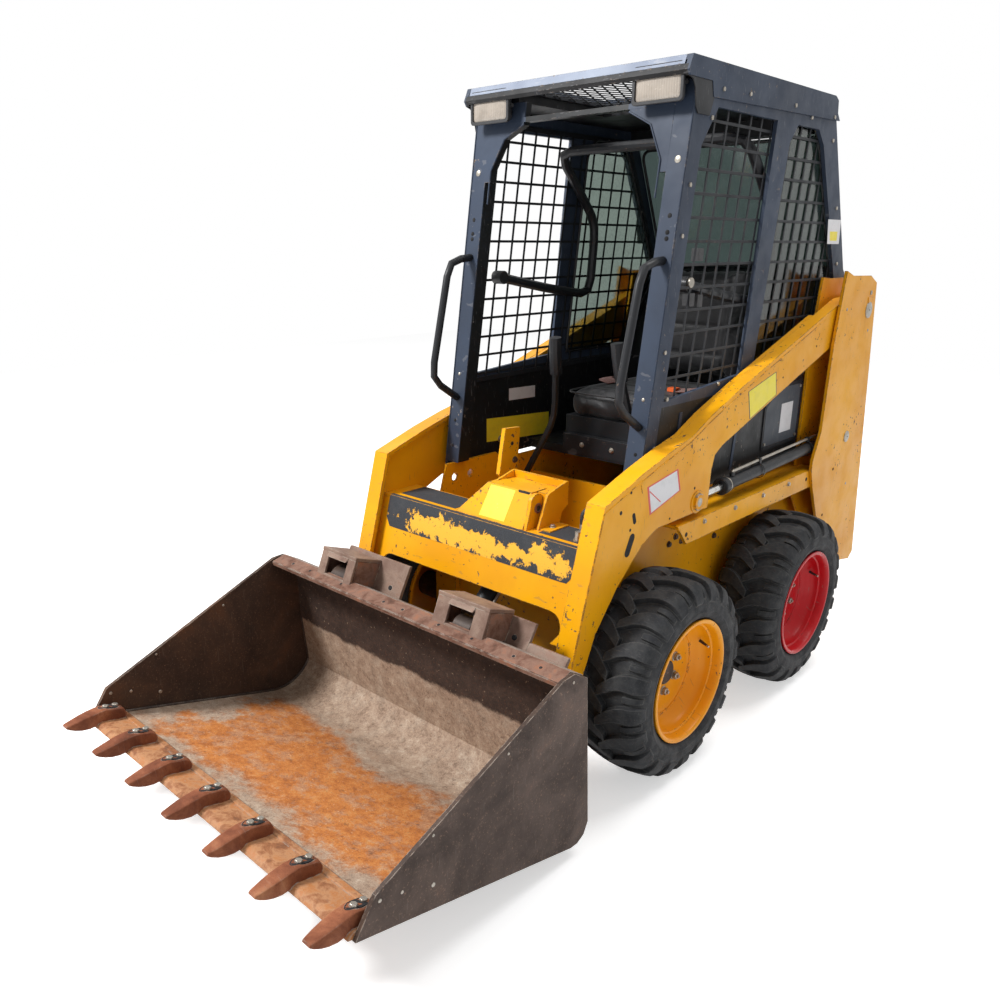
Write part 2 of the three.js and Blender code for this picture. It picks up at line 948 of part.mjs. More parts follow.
const guardBase = [-95, 158];
const guardTop = [-10, 150];
const guardHeight = 768;
function cylinderGuard() {
  const base = stepTop + SEAT_GAP;
  const front = slab(
    [
      [-588, base],
      [-542, guardHeight],
      [-480, guardHeight],
      [-462, base],
    ],
    guardBase,
  );
  // the front narrows from its foot to its top
  const taper = (low, high, out) =>
    wall(
      [
        [low, base - 1],
        [high, guardHeight + 1],
        [out, guardHeight + 1],
        [out, base - 1],
      ],
      [-600, -450],
    );
  const nose = cut(
    front,
    taper(guardBase[0], guardTop[0], guardBase[0] - 20),
    taper(guardBase[1], guardTop[1], guardBase[1] + 20),
  );
  const trayRight = 190;
  const side = [
    [-520, guardHeight - 8],
    [-516, guardHeight],
    [-444, 786],
    [-436, 786],
    [-436, 720],
    [-462, base + 30],
    [-500, base + 30],
  ];
  const tray = box([guardTop[0] + 2, trayRight], [-520, -440], [guardHeight - 10, guardHeight - 2]);
  const back = box([guardTop[0] + 2, trayRight], [-444, -436], [720, 786]);
  const left = slab(side, [guardTop[0] + 2, guardTop[0] + 10]);
  const right = slab(
    [[-560, base], [-524, guardHeight - 6], ...side.slice(1, 6), [-470, base]],
    [trayRight - 8, trayRight],
  );
  const lug = slab(
    [[-584, base], [-566, 738], ...arc([-540, 742], 26, 170, 10, 8), [-508, base]],
    [guardBase[1] - 2, guardBase[1] + 10],
  );
  const web = box([guardTop[1] - 4, trayRight], [-520, -512], [base, guardHeight - 4]);
  const pinBore = crossBar(8, [guardTop[1], guardBase[1] + 20], [-538, 728], 16);
  const hollow = box([tiltX - slotHalf + 8, tiltX + slotHalf - 8], [-555, -440], [base - 5, 740]);
  return cut(join(cut(nose, hollow), tray, back, left, right, lug, web), pinBore);
}
add("cylinder_guard", cylinderGuard(), yellow());

// ---------- lift cylinders ----------
const cylinderX = (armInner + armOuter) / 2;
const eyeHalf = (armOuter - armInner) / 2 - armPlate - SIDE_PLAY;
const liftLength = Math.hypot(liftEye[0] - liftBase[0], liftEye[1] - liftBase[1]);

function barrel(x, radius, from, to, length, endGap, eyeWidth, pinRadius) {
  const shell = sideBar(radius, x, from, to, 34, length, 24);
  const neck = sideBar(radius + 5, x, from, to, length - 42, length, 24);
  const eye = crossBar(pinRadius + 14, [x - eyeWidth, x + eyeWidth], from, 24);
  const web = sideBar(pinRadius + 6, x, from, to, 0, 40, 16);
  const bore = sideBar(endGap, x, from, to, 60, length + 5, 24);
  const pinHole = crossBar(pinRadius + PIN_GAP, [x - 60, x + 60], from, 24);
  return cut(join(shell, neck, eye, web), bore, pinHole);
}

const liftBarrelLength = 838;
addPair(
  "lift_barrel",
  barrel(
    cylinderX,
    liftBarrelRadius - 4,
    liftBase,
    liftEye,
    liftBarrelLength,
    liftRodRadius + 0.5,
    eyeHalf + 4,
    liftPinRadius,
  ),
  black,
);
addPair(
  "lift_rod",
  join(
    sideBar(liftRodRadius, cylinderX, liftBase, liftEye, 310, liftLength - 10, 24),
    crossBar(24, [cylinderX - eyeHalf, cylinderX + eyeHalf], liftEye, 24),
  ),
  bareSteel,
);

// ---------- tilt cylinder ----------
const tiltLength = Math.hypot(tiltEye[0] - tiltBase[0], tiltEye[1] - tiltBase[1]);
const tiltBarrelLength = 410;
const tiltEyeHalf = 17;
add(
  "tilt_barrel",
  barrel(
    tiltX,
    tiltBarrelRadius,
    tiltBase,
    tiltEye,
    tiltBarrelLength,
    tiltRodRadius + 0.5,
    slotHalf - 3,
    liftPinRadius,
  ),
  black(),
);
add(
  "tilt_rod",
  join(
    sideBar(tiltRodRadius, tiltX, tiltBase, tiltEye, 105, tiltLength - 10, 24),
    crossBar(24, [tiltX - tiltEyeHalf, tiltX + tiltEyeHalf], tiltEye, 24),
  ),
  bareSteel(),
);

// ---------- bucket ----------
// Bucket outlines are drawn with the floor level: u runs forward from the heel, w up.
const tip = bucketRollBack * RAD;
const toBucket = ([u, w]) => [
  bucketHeel[0] - u * Math.cos(tip) + w * Math.sin(tip),
  bucketHeel[1] + u * Math.sin(tip) + w * Math.cos(tip),
];
const bucketSlab = (points, span) => slab(points.map(toBucket).reverse(), span);

const backFoot = [-45, 57];
const backHead = [84, bucketHeight];
const shelfFront = 136;
const edgeDepth = 92; // of the bolted cutting edge
const edgeThickness = 16;
const curveRadius = 130;

function bucketShell() {
  const floorFront = bucketDepth - edgeDepth - SEAT_GAP;
  const innerFoot = arc([112, bucketFloor + curveRadius], curveRadius, 268, 196, 8);
  const section = bucketSlab(
    [
      [floorFront, 0],
      [floorFront, bucketFloor],
      ...innerFoot,
      [backHead[0] + 6, bucketHeight - bucketBack],
      [shelfFront - 4, bucketHeight + 2],
      [shelfFront + 34, bucketHeight - 18],
      [shelfFront + 38, bucketHeight - 8],
      [shelfFront, bucketHeight + 14],
      [backHead[0], backHead[1]],
      backFoot,
      [-38, 24],
      [-18, 6],
      [6, 0],
    ],
    [-bucketHalfWidth + 1, bucketHalfWidth - 1],
  );
  const cheek = bucketSlab(
    [
      [bucketDepth - 4, 0],
      [bucketDepth - 34, 84],
      [shelfFront + 36, bucketHeight + 2],
      [shelfFront, bucketHeight + 14],
      [backHead[0], backHead[1]],
      backFoot,
      [-38, 24],
      [-18, 6],
      [6, 0],
    ],
    [bucketHalfWidth - bucketSide, bucketHalfWidth],
  );
  return join(section, cheek, mirrored(cheek));
}
add("bucket_shell", bucketShell(), darkSteel());

function cuttingEdge() {
  const half = bucketHalfWidth - bucketSide - SEAT_GAP;
  const start = bucketDepth - edgeDepth;
  const bar = bucketSlab(
    [
      [start, 0],
      [bucketDepth + 6, 0],
      [bucketDepth, edgeThickness - 4],
      [bucketDepth - 10, edgeThickness],
      [start, edgeThickness],
    ],
    [-half, half],
  );
  const tooth = bucketSlab(
    [
      [start + 22, edgeThickness - 1],
      [bucketDepth - 4, edgeThickness - 6],
      [bucketDepth + 8, -2],
      [bucketDepth + toothReach, 2],
      [bucketDepth + toothReach, 8],
      [bucketDepth + 20, 36],
      [bucketDepth - 20, 40],
      [start + 26, edgeThickness + 14],
    ],
    [-toothWidth / 2, toothWidth / 2],
  );
  const firstTooth = half - toothWidth / 2 - 2;
  const pitch = (2 * firstTooth) / (toothCount - 1);
  const teeth = Array.from({ length: toothCount }, (_, i) =>
    tooth.translate([-firstTooth + i * pitch, 0, 0]),
  );
  return join(bar, ...teeth);
}
add("cutting_edge", cuttingEdge(), rustSteel());

const attachHalf = armOuter + RUN_GAP + 12;
const plateDepth = 13; // of the quick attach behind the bucket's back
function quickAttach() {
  const backPoint = (w) => {
    const share = (w - backFoot[1]) / (backHead[1] - backFoot[1]);
    return [backFoot[0] + (backHead[0] - backFoot[0]) * share - SEAT_GAP - 0.2, w];
  };
  const offset = ([u, w], depth) => [u - depth, w];
  const [low, high] = [backPoint(66), backPoint(bucketHeight - 20)];
  const plate = bucketSlab(
    [offset(low, plateDepth), offset(high, plateDepth), high, low],
    [-attachHalf, attachHalf],
  );
  const earLow = toBucket(offset(low, 6));
  const earHigh = toBucket(offset(backPoint(300), 6));
  const ear = (x, width) =>
    slab(
      [
        earLow,
        ...arc(bucketHinge, 40, -80, 50, 6),
        earHigh,
      ],
      [x, x + width],
    );
  const tiltEar = (x) =>
    slab(
      [
        toBucket(offset(backPoint(130), 6)),
        ...arc(tiltEye, 34, -70, 80, 6),
        toBucket(offset(backPoint(380), 6)),
      ],
      [x, x + 14],
    );
  const sides = [armOuter + RUN_GAP, armInner - RUN_GAP - 12].map((x) => ear(x, 12));
  const pin = crossBar(
    bucketPinRadius,
    [armInner - RUN_GAP - 16, armOuter + RUN_GAP + 16],
    bucketHinge,
  );
  const hinge = join(...sides, pin);
  const earInner = tiltEyeHalf + SIDE_PLAY;
  const ears = [tiltX - earInner - 14, tiltX + earInner].map(tiltEar);
  const eyeRoom = crossBar(74, [tiltX - earInner, tiltX + earInner], tiltEye, 24);
  return join(cut(plate, eyeRoom), hinge, mirrored(hinge), ...ears);
}
add("quick_attach", quickAttach(), darkSteel());

// ---------- wheels ----------
function tyre(y) {
  const half = tyreWidth / 2;
  const middle = track / 2;
  return turned(
    [
      [middle - half + 20, rimRadius + SEAT_GAP],
      [middle + half - 20, rimRadius + SEAT_GAP],
      [middle + half - 4, rimRadius + 28],
      [middle + half, tyreRadius - 52],
      [middle + half - 10, tyreRadius - 18],
      [middle + half - 40, tyreRadius],
      [middle - half + 40, tyreRadius],
      [middle - half + 10, tyreRadius - 18],
      [middle - half, tyreRadius - 52],
      [middle - half + 4, rimRadius + 28],
    ],
    [y, tyreRadius],
    ROUND,
  );
}

function rim(y) {
  const outer = wheelOuter - 6;
  const inner = wheelOuter - tyreWidth + 8;
  const bed = rimRadius - rimWall;
  return turned(
    [
      [discInner, 0],
      [discInner, bed - 34],
      [discInner - 26, bed],
      [inner, bed],
      [inner, rimRadius + 6],
      [inner + 6, rimRadius + 6],
      [inner + 10, rimRadius],
      [outer - 10, rimRadius],
      [outer - 6, rimRadius + 6],
      [outer, rimRadius + 6],
      [outer, bed],
      [discOuter - 10, bed],
      [discOuter, bed - 40],
      [discOuter, 62],
      [discOuter + 12, 52],
      [discOuter + 14, 0],
    ],
    [y, tyreRadius],
    ROUND,
  );
}

for (const [end, y, paint] of [
  ["front", -wheelbase / 2, rimYellow],
  ["rear", wheelbase / 2, rimRed],
]) {
  addPair(`${end}_tyre`, tyre(y), rubber);
  addPair(`${end}_rim`, rim(y), paint);
}

// ---------- the part's own frame ----------
const bounds = new THREE.Box3().setFromObject(machine);
machine.position.y = -(bounds.min.y + bounds.max.y) / 2;

export default machine;
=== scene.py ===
"""Skid steer loader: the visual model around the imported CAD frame.

Lengths in this script are millimetres in the machine frame: X = 0 is the middle, Y = 0 is midway
between the axles, Z = 0 is the ground, and the machine faces -Y. at() turns them into row-frame metres.
"""
import json
import math
import random

import bpy
from mathutils import Matrix, Vector

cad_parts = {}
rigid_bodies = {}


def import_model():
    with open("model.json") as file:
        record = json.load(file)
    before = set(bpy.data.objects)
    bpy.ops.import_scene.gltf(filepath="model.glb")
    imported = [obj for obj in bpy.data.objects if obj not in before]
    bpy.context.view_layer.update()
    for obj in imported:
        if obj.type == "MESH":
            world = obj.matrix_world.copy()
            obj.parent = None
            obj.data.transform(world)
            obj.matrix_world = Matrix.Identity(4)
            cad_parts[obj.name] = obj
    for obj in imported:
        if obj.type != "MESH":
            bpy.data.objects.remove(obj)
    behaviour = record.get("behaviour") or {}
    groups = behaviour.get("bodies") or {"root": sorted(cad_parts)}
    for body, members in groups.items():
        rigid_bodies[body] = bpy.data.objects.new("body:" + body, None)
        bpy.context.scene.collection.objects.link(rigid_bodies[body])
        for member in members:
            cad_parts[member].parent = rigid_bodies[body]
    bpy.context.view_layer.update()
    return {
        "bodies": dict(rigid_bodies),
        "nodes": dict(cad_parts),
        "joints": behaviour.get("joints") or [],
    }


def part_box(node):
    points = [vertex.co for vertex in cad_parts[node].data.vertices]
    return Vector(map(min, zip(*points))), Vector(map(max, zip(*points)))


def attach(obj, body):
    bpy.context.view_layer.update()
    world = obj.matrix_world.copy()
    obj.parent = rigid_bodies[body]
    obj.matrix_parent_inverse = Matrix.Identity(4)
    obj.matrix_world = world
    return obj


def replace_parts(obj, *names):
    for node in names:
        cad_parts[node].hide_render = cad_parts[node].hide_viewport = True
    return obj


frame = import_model()
MM = 0.001
WHEEL_JOINTS = [j for j in frame["joints"] if j["name"].endswith("_wheel_spin")]
MID_Y = sum(j["pos_m"][1] for j in WHEEL_JOINTS) / len(WHEEL_JOINTS)
WHEELS = {j["child"]: Vector(j["pos_m"]) for j in WHEEL_JOINTS}
SIDES = (("left", 1), ("right", -1))
rng = random.Random(7)
# the cab posts' front face leans back from (-366, 735) to (-211, 1745)
POST_SLOPE = (366 - 211) / (1745 - 735)
# the heel of the bucket's floor (y, z), and how far the floor is tipped up from it
HEEL, TIP = (-854, 35), math.radians(15)


def at(p):
    """A machine-frame point in millimetres as row-frame metres."""
    return Vector((p[0] * MM, p[1] * MM + MID_Y, p[2] * MM))


def post_face(z):
    """Where the posts' front face is at a height."""
    return -366 + (z - 735) * POST_SLOPE


# ------------------------------------------------------------------ materials
class Mat:
    """A material's node tree, with short calls for the nodes that are used again and again."""

    def __init__(self, name, **sockets):
        self.m = bpy.data.materials.new(name)
        self.m.use_nodes = True
        self.tree = self.m.node_tree
        self.shader = self.tree.nodes["Principled BSDF"]
        for key, value in sockets.items():
            self.shader.inputs[key.replace("_", " ")].default_value = value
        self.where = self.add("TexCoord").outputs["Object"]

    def add(self, kind, **settings):
        node = self.tree.nodes.new("ShaderNode" + kind)
        for key, value in settings.items():
            setattr(node, key, value)
        return node

    def put(self, socket, value):
        if isinstance(value, bpy.types.NodeSocket):
            self.tree.links.new(value, socket)
        elif isinstance(value, (tuple, list)) and len(value) == 3 and socket.type == "RGBA":
            socket.default_value = (*value, 1)
        else:
            socket.default_value = value

    def noise(self, scale, detail=3.0, rough=0.55, distortion=0.0, vector=None):
        node = self.add("TexNoise")
        self.put(node.inputs["Vector"], vector or self.where)
        self.put(node.inputs["Scale"], scale)
        self.put(node.inputs["Detail"], detail)
        self.put(node.inputs["Roughness"], rough)
        self.put(node.inputs["Distortion"], distortion)
        return node.outputs["Fac"]

    def cells(self, scale, feature="F1", vector=None, randomness=1.0):
        node = self.add("TexVoronoi", feature=feature)
        self.put(node.inputs["Vector"], vector or self.where)
        self.put(node.inputs["Scale"], scale)
        self.put(node.inputs["Randomness"], randomness)
        return node.outputs["Distance"]

    def stretched(self, scale, turn=(0, 0, 0)):
        node = self.add("Mapping")
        self.put(node.inputs["Vector"], self.where)
        node.inputs["Scale"].default_value = scale
        node.inputs["Rotation"].default_value = [math.radians(a) for a in turn]
        return node.outputs["Vector"]

    def math(self, op, a, b=0.0, clamp=False):
        node = self.add("Math", operation=op, use_clamp=clamp)
        self.put(node.inputs[0], a)
        self.put(node.inputs[1], b)
        return node.outputs[0]

    def times(self, a, b):
        return self.math("MULTIPLY", a, b)

    def plus(self, a, b, clamp=False):
        return self.math("ADD", a, b, clamp)

    def minus(self, a, b):
        return self.math("SUBTRACT", a, b)

    def most(self, a, b):
        return self.math("MAXIMUM", a, b)

    def size(self, a):
        return self.math("ABSOLUTE", a)

    def step(self, value, low, high, out_low=0.0, out_high=1.0):
        """value mapped so that low gives out_low and high gives out_high, clamped between."""
        node = self.add("MapRange", interpolation_type="SMOOTHSTEP")
        for i, v in enumerate((value, low, high, out_low, out_high)):
            self.put(node.inputs[i], v)
        return node.outputs[0]

    def vary(self, low, high, *noise):
        """A value that wanders between low and high."""
        return self.step(self.noise(*noise), 0.3, 0.7, low, high)

    def blotch(self, tone, colour, amount, low, high, *noise):
        """tone with some of a colour over it, where a noise passes from low to high."""
        return self.mix(self.times(self.step(self.noise(*noise), low, high), amount), tone, colour)

    def mix(self, fac, a, b):
        node = self.add("Mix", data_type="RGBA")
        self.put(node.inputs[0], fac)
        self.put(node.inputs[6], a)
        self.put(node.inputs[7], b)
        return node.outputs[2]

    def ramp(self, fac, stops):
        node = self.add("ValToRGB")
        node.color_ramp.elements[0].position = stops[0][0]
        node.color_ramp.elements[0].color = (*stops[0][1], 1)
        node.color_ramp.elements[1].position = stops[-1][0]
        node.color_ramp.elements[1].color = (*stops[-1][1], 1)
        for place, colour in stops[1:-1]:
            node.color_ramp.elements.new(place).color = (*colour, 1)
        self.put(node.inputs[0], fac)
        return node.outputs[0]

    def patches(self, fac, stops):
        """A colour ramp whose stops are given as a place and a colour in sRGB."""
        return self.ramp(fac, [(place, srgb(*colour)) for place, colour in stops])

    def axis(self, index):
        node = self.add("SeparateXYZ")
        self.put(node.inputs[0], self.where)
        return node.outputs[index]

    def edges(self, radius):
        """1 on and beside a sharp edge, 0 on open faces."""
        soft = self.add("Bevel", samples=4)
        soft.inputs["Radius"].default_value = radius
        dot = self.add("VectorMath", operation="DOT_PRODUCT")
        self.put(dot.inputs[0], soft.outputs[0])
        self.put(dot.inputs[1], self.add("NewGeometry").outputs["Normal"])
        return self.step(dot.outputs["Value"], 0.995, 0.93)

    def upward(self, low=0.3, high=0.9):
        node = self.add("SeparateXYZ")
        self.put(node.inputs[0], self.add("NewGeometry").outputs["Normal"])
        return self.step(node.outputs[2], low, high)

    def done(self, colour, rough=None, height=None, depth=0.0005, strength=0.6):
        self.put(self.shader.inputs["Base Color"], colour)
        if rough is not None:
            self.put(self.shader.inputs["Roughness"], rough)
        if height is not None:
            bump = self.add("Bump")
            self.put(bump.inputs["Height"], height)
            bump.inputs["Distance"].default_value = depth
            bump.inputs["Strength"].default_value = strength
            self.put(self.shader.inputs["Normal"], bump.outputs[0])
        return self.m


def shade(colour, by, lift=0.0):
    """A colour made lighter or darker."""
    return tuple(c * by + lift for c in colour)


def srgb(r, g, b):
    """A colour's linear values from its sRGB ones, 0 to 255."""
    return tuple((v / 255 / 12.92) if v < 11 else ((v / 255 + 0.055) / 1.055) ** 2.4 for v in (r, g, b))


def paint(name, colour, dark, bare, chips=0.5, dust=0.12, dust_colour=(0.42, 0.36, 0.27), gloss=0.3, coat=0.3,
          edge=0.004, rust=(0.085, 0.035, 0.015), zone=None, other=None):
    """Enamel on steel: cloudy colour, scratches, chips on edges and in small spots, dust on ledges, and where
    zone gives 1 the near-black colour other as painted shade.
    """
    m = Mat(name, Coat_Weight=coat, Coat_Roughness=0.25, Metallic=0.0, Specular_IOR_Level=0.22)
    cloud = m.step(m.noise(3.5, 4), 0.3, 0.7)
    tone = m.mix(cloud, colour, dark)
    # where the zone gives 1, the near-black colour other covers the paint as painted shade
    if zone:
        tone = m.mix(zone(m), tone, m.mix(cloud, other, shade(other, 0.65)))
    tone = m.blotch(tone, dark, 0.22, 0.52, 0.75, 38, 5, 0.7)
    scratch = m.step(m.noise(26, 2, 0.5, 0.3, m.stretched((1, 9, 1), (20, 35, 50))), 0.665, 0.70)
    tone = m.mix(m.times(scratch, 0.30), tone, bare)
    grain = m.noise(240, 5, 0.7)
    worn = m.times(m.edges(edge), m.step(m.noise(34, 5, 0.75), 0.60 - 0.12 * chips, 0.68 - 0.12 * chips))
    spots = m.step(m.plus(m.noise(70, 3, 0.6), m.times(m.noise(6, 2), 0.55)), 1.03 - 0.06 * chips,
                   1.07 - 0.06 * chips)
    chip = m.most(worn, spots)
    tone = m.mix(chip, tone, m.mix(m.step(grain, 0.42, 0.62), rust, bare))
    film = m.times(m.upward(), m.step(m.noise(9, 5, 0.7), 0.35, 0.75))
    tone = m.mix(m.times(film, dust), tone, dust_colour)
    rough = m.step(m.noise(14, 4, 0.6), 0.3, 0.75, gloss, gloss + 0.2)
    rough = m.plus(rough, m.times(chip, 0.25))
    height = m.minus(m.times(m.noise(420, 2), 0.12), chip)
    return m.done(tone, rough, height, 0.0006, 0.5)


def steel(name, tones, spots, rough=(0.4, 0.65), scale=6.0, metallic=0.15, depth=0.0008, streak=(1, 1, 1)):
    """Worn or rusted steel: tones is the ramp of its patches and spots its fine pits, both in sRGB."""
    m = Mat(name, Metallic=metallic, Specular_IOR_Level=0.25)
    place = m.stretched(streak)
    patch = m.noise(scale, 8, 0.68, 0.4, place)
    tone = m.patches(patch, tones)
    speck = m.step(m.noise(scale * 30, 4, 0.7), 0.56, 0.70)
    tone = m.mix(m.times(speck, 0.6), tone, srgb(*spots))
    line = m.step(m.noise(18, 2, 0.5, 0.2, m.stretched((1, 14, 1), (10, 25, 70))), 0.66, 0.70)
    tone = m.mix(m.times(line, 0.10), tone, (0.30, 0.26, 0.22))
    tone = m.mix(m.times(m.edges(0.003), m.step(m.noise(40, 4), 0.42, 0.6)), tone, (0.34, 0.28, 0.23))
    height = m.plus(m.times(m.noise(scale * 22, 6, 0.75), 0.8), m.times(patch, 0.6))
    return m.done(tone, m.step(patch, 0.3, 0.7, rough[1], rough[0]), height, depth, 0.55)


def cab_inside(m):
    """1 where the cab shell is near-black: painted shade inside, behind the front posts, and on the header
    between the lamps, and near-black on the outer wall under the windows.
    """
    across = m.size(m.axis(0))
    along = m.minus(m.axis(1), MID_Y)
    front = m.plus(m.times(m.axis(2), POST_SLOPE), post_face(0) * MM)
    back = m.minus(along, front)
    # inside the cab: painted shade
    inner = m.times(m.math("LESS_THAN", across, 0.3515), m.math("GREATER_THAN", back, 0.0035))
    low = m.times(m.math("LESS_THAN", m.axis(2), 0.985), m.math("GREATER_THAN", back, 0.053))
    # the header between the lamps: painted shade
    middle = m.times(m.math("GREATER_THAN", m.axis(2), 1.7), m.math("LESS_THAN", across, 0.172))
    return m.most(m.most(inner, low), middle)


def roof_inside(m):
    """1 on the roof's underside and the lower part of its front lip, painted near-black as shade."""
    return m.times(m.math("LESS_THAN", m.axis(2), 1.7885), m.math("LESS_THAN", m.size(m.axis(0)), 0.3635))


YELLOW = paint("yellow_paint", (0.86, 0.40, 0.004), (0.74, 0.31, 0.003), (0.20, 0.13, 0.07), chips=1.25,
               dust=0.05, coat=0.08)
SLATE = dict(colour=(0.036, 0.052, 0.086), dark=(0.026, 0.036, 0.058), bare=(0.20, 0.20, 0.21), chips=0.45,
             dust=0.12, dust_colour=(0.16, 0.16, 0.17), gloss=0.40, coat=0.05, rust=(0.13, 0.09, 0.06))
CAB = paint("cab_paint", **SLATE)
# the cab and roof shells: slate paint, near-black as painted shade where cab_inside and roof_inside give 1
CAB_SHELL = paint("cab_shell_paint", zone=cab_inside, other=(0.010, 0.011, 0.012), **SLATE)
ROOF_SHELL = paint("roof_shell_paint", zone=roof_inside, other=(0.008, 0.008, 0.009), **SLATE)
BLACK = paint("black_paint", (0.016, 0.017, 0.020), (0.010, 0.011, 0.013), (0.12, 0.12, 0.12), chips=0.35,
              dust=0.25, dust_colour=(0.09, 0.088, 0.085), gloss=0.38, coat=0.1, rust=(0.10, 0.055, 0.03))
BAR_BLACK = paint("grille_black", (0.022, 0.024, 0.028), (0.014, 0.015, 0.018), (0.10, 0.10, 0.10), chips=0.1,
                  dust=0.2, dust_colour=(0.08, 0.08, 0.08), gloss=0.42, coat=0.0, edge=0.002)
FRONT_RIM = paint("front_rim_paint", (0.90, 0.38, 0.003), (0.82, 0.30, 0.003), (0.20, 0.10, 0.05), chips=0.7,
                  dust=0.04, gloss=0.28, coat=0.08)
REAR_RIM = paint("rear_rim_paint", (0.55, 0.006, 0.012), (0.44, 0.004, 0.008), (0.20, 0.12, 0.10), chips=0.35,
                 dust=0.04, gloss=0.26, coat=0.08)
OUTER_STEEL = steel("bucket_outside", [(0.25, (40, 30, 25)), (0.42, (58, 44, 37)), (0.58, (74, 56, 46)),
                                       (0.76, (100, 68, 48))], (132, 104, 84), metallic=0.05)
RUST_STEEL = steel("rusty_steel",
                   [(0.2, (70, 40, 28)), (0.42, (114, 64, 42)), (0.56, (138, 82, 54)),
                    (0.74, (170, 118, 82))], (60, 36, 26), scale=14, metallic=0.0, rough=(0.6, 0.85))
GREY_STEEL = steel("scuffed_steel",
                   [(0.2, (84, 62, 52)), (0.45, (116, 92, 80)), (0.6, (134, 112, 98)), (0.8, (126, 76, 54))],
                   (78, 50, 38), scale=12, metallic=0.05, rough=(0.5, 0.75))
LIP_STEEL = steel("lip_steel",
                  [(0.28, (66, 46, 38)), (0.42, (104, 72, 58)), (0.54, (124, 94, 80)), (0.7, (146, 92, 64))],
                  (60, 40, 32), scale=22, metallic=0.0, rough=(0.55, 0.8))
SHELF_STEEL = steel("shelf_steel",
                    [(0.28, (98, 84, 76)), (0.45, (128, 115, 107)), (0.6, (140, 128, 120)),
                     (0.76, (132, 98, 80))], (84, 62, 52), scale=20, metallic=0.0, rough=(0.5, 0.7))
EDGE_STEEL = steel("edge_steel", [(0.28, (100, 68, 50)), (0.42, (142, 92, 60)), (0.52, (172, 126, 90)),
                                  (0.62, (168, 108, 62)), (0.75, (158, 140, 122))], (84, 54, 40), scale=26,
                   metallic=0.0, rough=(0.5, 0.75))
DARK_STEEL = steel("dark_steel", [(0.25, (44, 38, 36)), (0.5, (62, 52, 47)), (0.75, (84, 66, 55))],
                   (104, 84, 70), scale=10, metallic=0.1)
ZINC = steel("zinc_fasteners", [(0.2, (120, 112, 100)), (0.5, (165, 160, 150)), (0.8, (196, 192, 184))],
             (110, 90, 70), scale=40, metallic=0.7, rough=(0.3, 0.5), depth=0.0003)


def bucket_inside():
    """Rust orange where loads slide, tan grey round it and up the curve, and a dark painted shadow across the
    top of the back.
    """
    m = Mat("bucket_inside", Metallic=0.0, Specular_IOR_Level=0.25)
    fine, middle, patch = m.noise(150, 6, 0.8), m.noise(30, 9, 0.82), m.noise(4.5, 8, 0.68, 0.2)
    mixed = m.plus(m.times(middle, 0.55), m.times(fine, 0.45))
    rust = m.patches(mixed,
                     [(0.34, (98, 62, 42)), (0.43, (150, 88, 46)), (0.51, (182, 112, 56)),
                      (0.58, (190, 130, 74)), (0.68, (178, 148, 112))])
    grey = m.patches(mixed,
                     [(0.34, (88, 74, 64)), (0.44, (132, 117, 102)), (0.53, (160, 146, 130)),
                      (0.62, (190, 178, 162)), (0.72, (160, 120, 88))])
    # dark patches for the painted shadow across the top of the back
    dark = m.patches(mixed, [(0.36, (40, 31, 27)), (0.5, (58, 45, 39)), (0.64, (84, 66, 56))])
    # how far a point is forward of the heel and above the floor
    back, up = m.minus(m.axis(1), MID_Y + HEEL[0] * MM), m.minus(m.axis(2), HEEL[1] * MM)
    above = m.plus(m.times(back, math.sin(TIP)), m.times(up, math.cos(TIP)))
    ahead = m.minus(m.times(up, math.sin(TIP)), m.times(back, math.cos(TIP)))
    wander = m.plus(m.times(m.minus(patch, 0.5), 0.8), m.times(m.minus(middle, 0.5), 0.35))
    left = m.step(m.minus(wander, m.axis(0)), 0.40, 0.50)
    right = m.step(m.plus(wander, m.axis(0)), 0.60, 0.68)
    lip = m.step(m.plus(ahead, m.times(wander, 0.5)), 0.49, 0.57)
    curve = m.step(m.minus(m.times(wander, 0.5), ahead), -0.19, -0.10)
    away = m.most(m.most(left, right), m.most(lip, curve))
    tone = m.mix(m.times(away, 0.85), rust, grey)
    streaks = m.step(m.noise(12, 9, 0.78), 0.50, 0.58)
    tone = m.mix(m.times(streaks, 0.35), tone, grey)
    # painted shadow: above a ragged line the back takes the dark patches
    high = m.step(m.plus(above, m.times(wander, 0.10)), 0.232, 0.246)
    tone = m.mix(high, tone, dark)
    for scale, low, amount, colour in ((150, 0.58, 0.55, (84, 52, 36)), (46, 0.61, 0.5, (82, 58, 46)),
                                       (95, 0.62, 0.5, (206, 178, 148))):
        tone = m.blotch(tone, srgb(*colour), amount, low, low + 0.06, scale, 5, 0.72, 0.2)
    return m.done(tone, m.step(fine, 0.3, 0.7, 0.6, 0.9), fine, 0.0014, 0.7)


def rubber():
    """Dusty tyre rubber: grey dust in patches, paler on sharp edges, fine ribs of wear."""
    m = Mat("tyre_rubber", Specular_IOR_Level=0.3)
    base = m.ramp(m.noise(9, 6, 0.65),
                  [(0.3, (0.010, 0.011, 0.013)), (0.6, (0.017, 0.018, 0.021)), (0.8, (0.026, 0.027, 0.029))])
    dust = m.times(m.step(m.noise(26, 6, 0.72), 0.40, 0.66), 0.5)
    tone = m.mix(dust, base, (0.050, 0.051, 0.051))
    marks = m.step(m.noise(60, 3, 0.6, 0.2, m.stretched((1, 4, 4))), 0.58, 0.66)
    tone = m.mix(m.times(marks, 0.35), tone, (0.075, 0.073, 0.068))
    tone = m.mix(m.times(m.edges(0.004), 0.45), tone, (0.085, 0.084, 0.080))
    return m.done(tone, m.vary(0.62, 0.85, 30, 4), m.noise(300, 4, 0.7), 0.0006, 0.5)


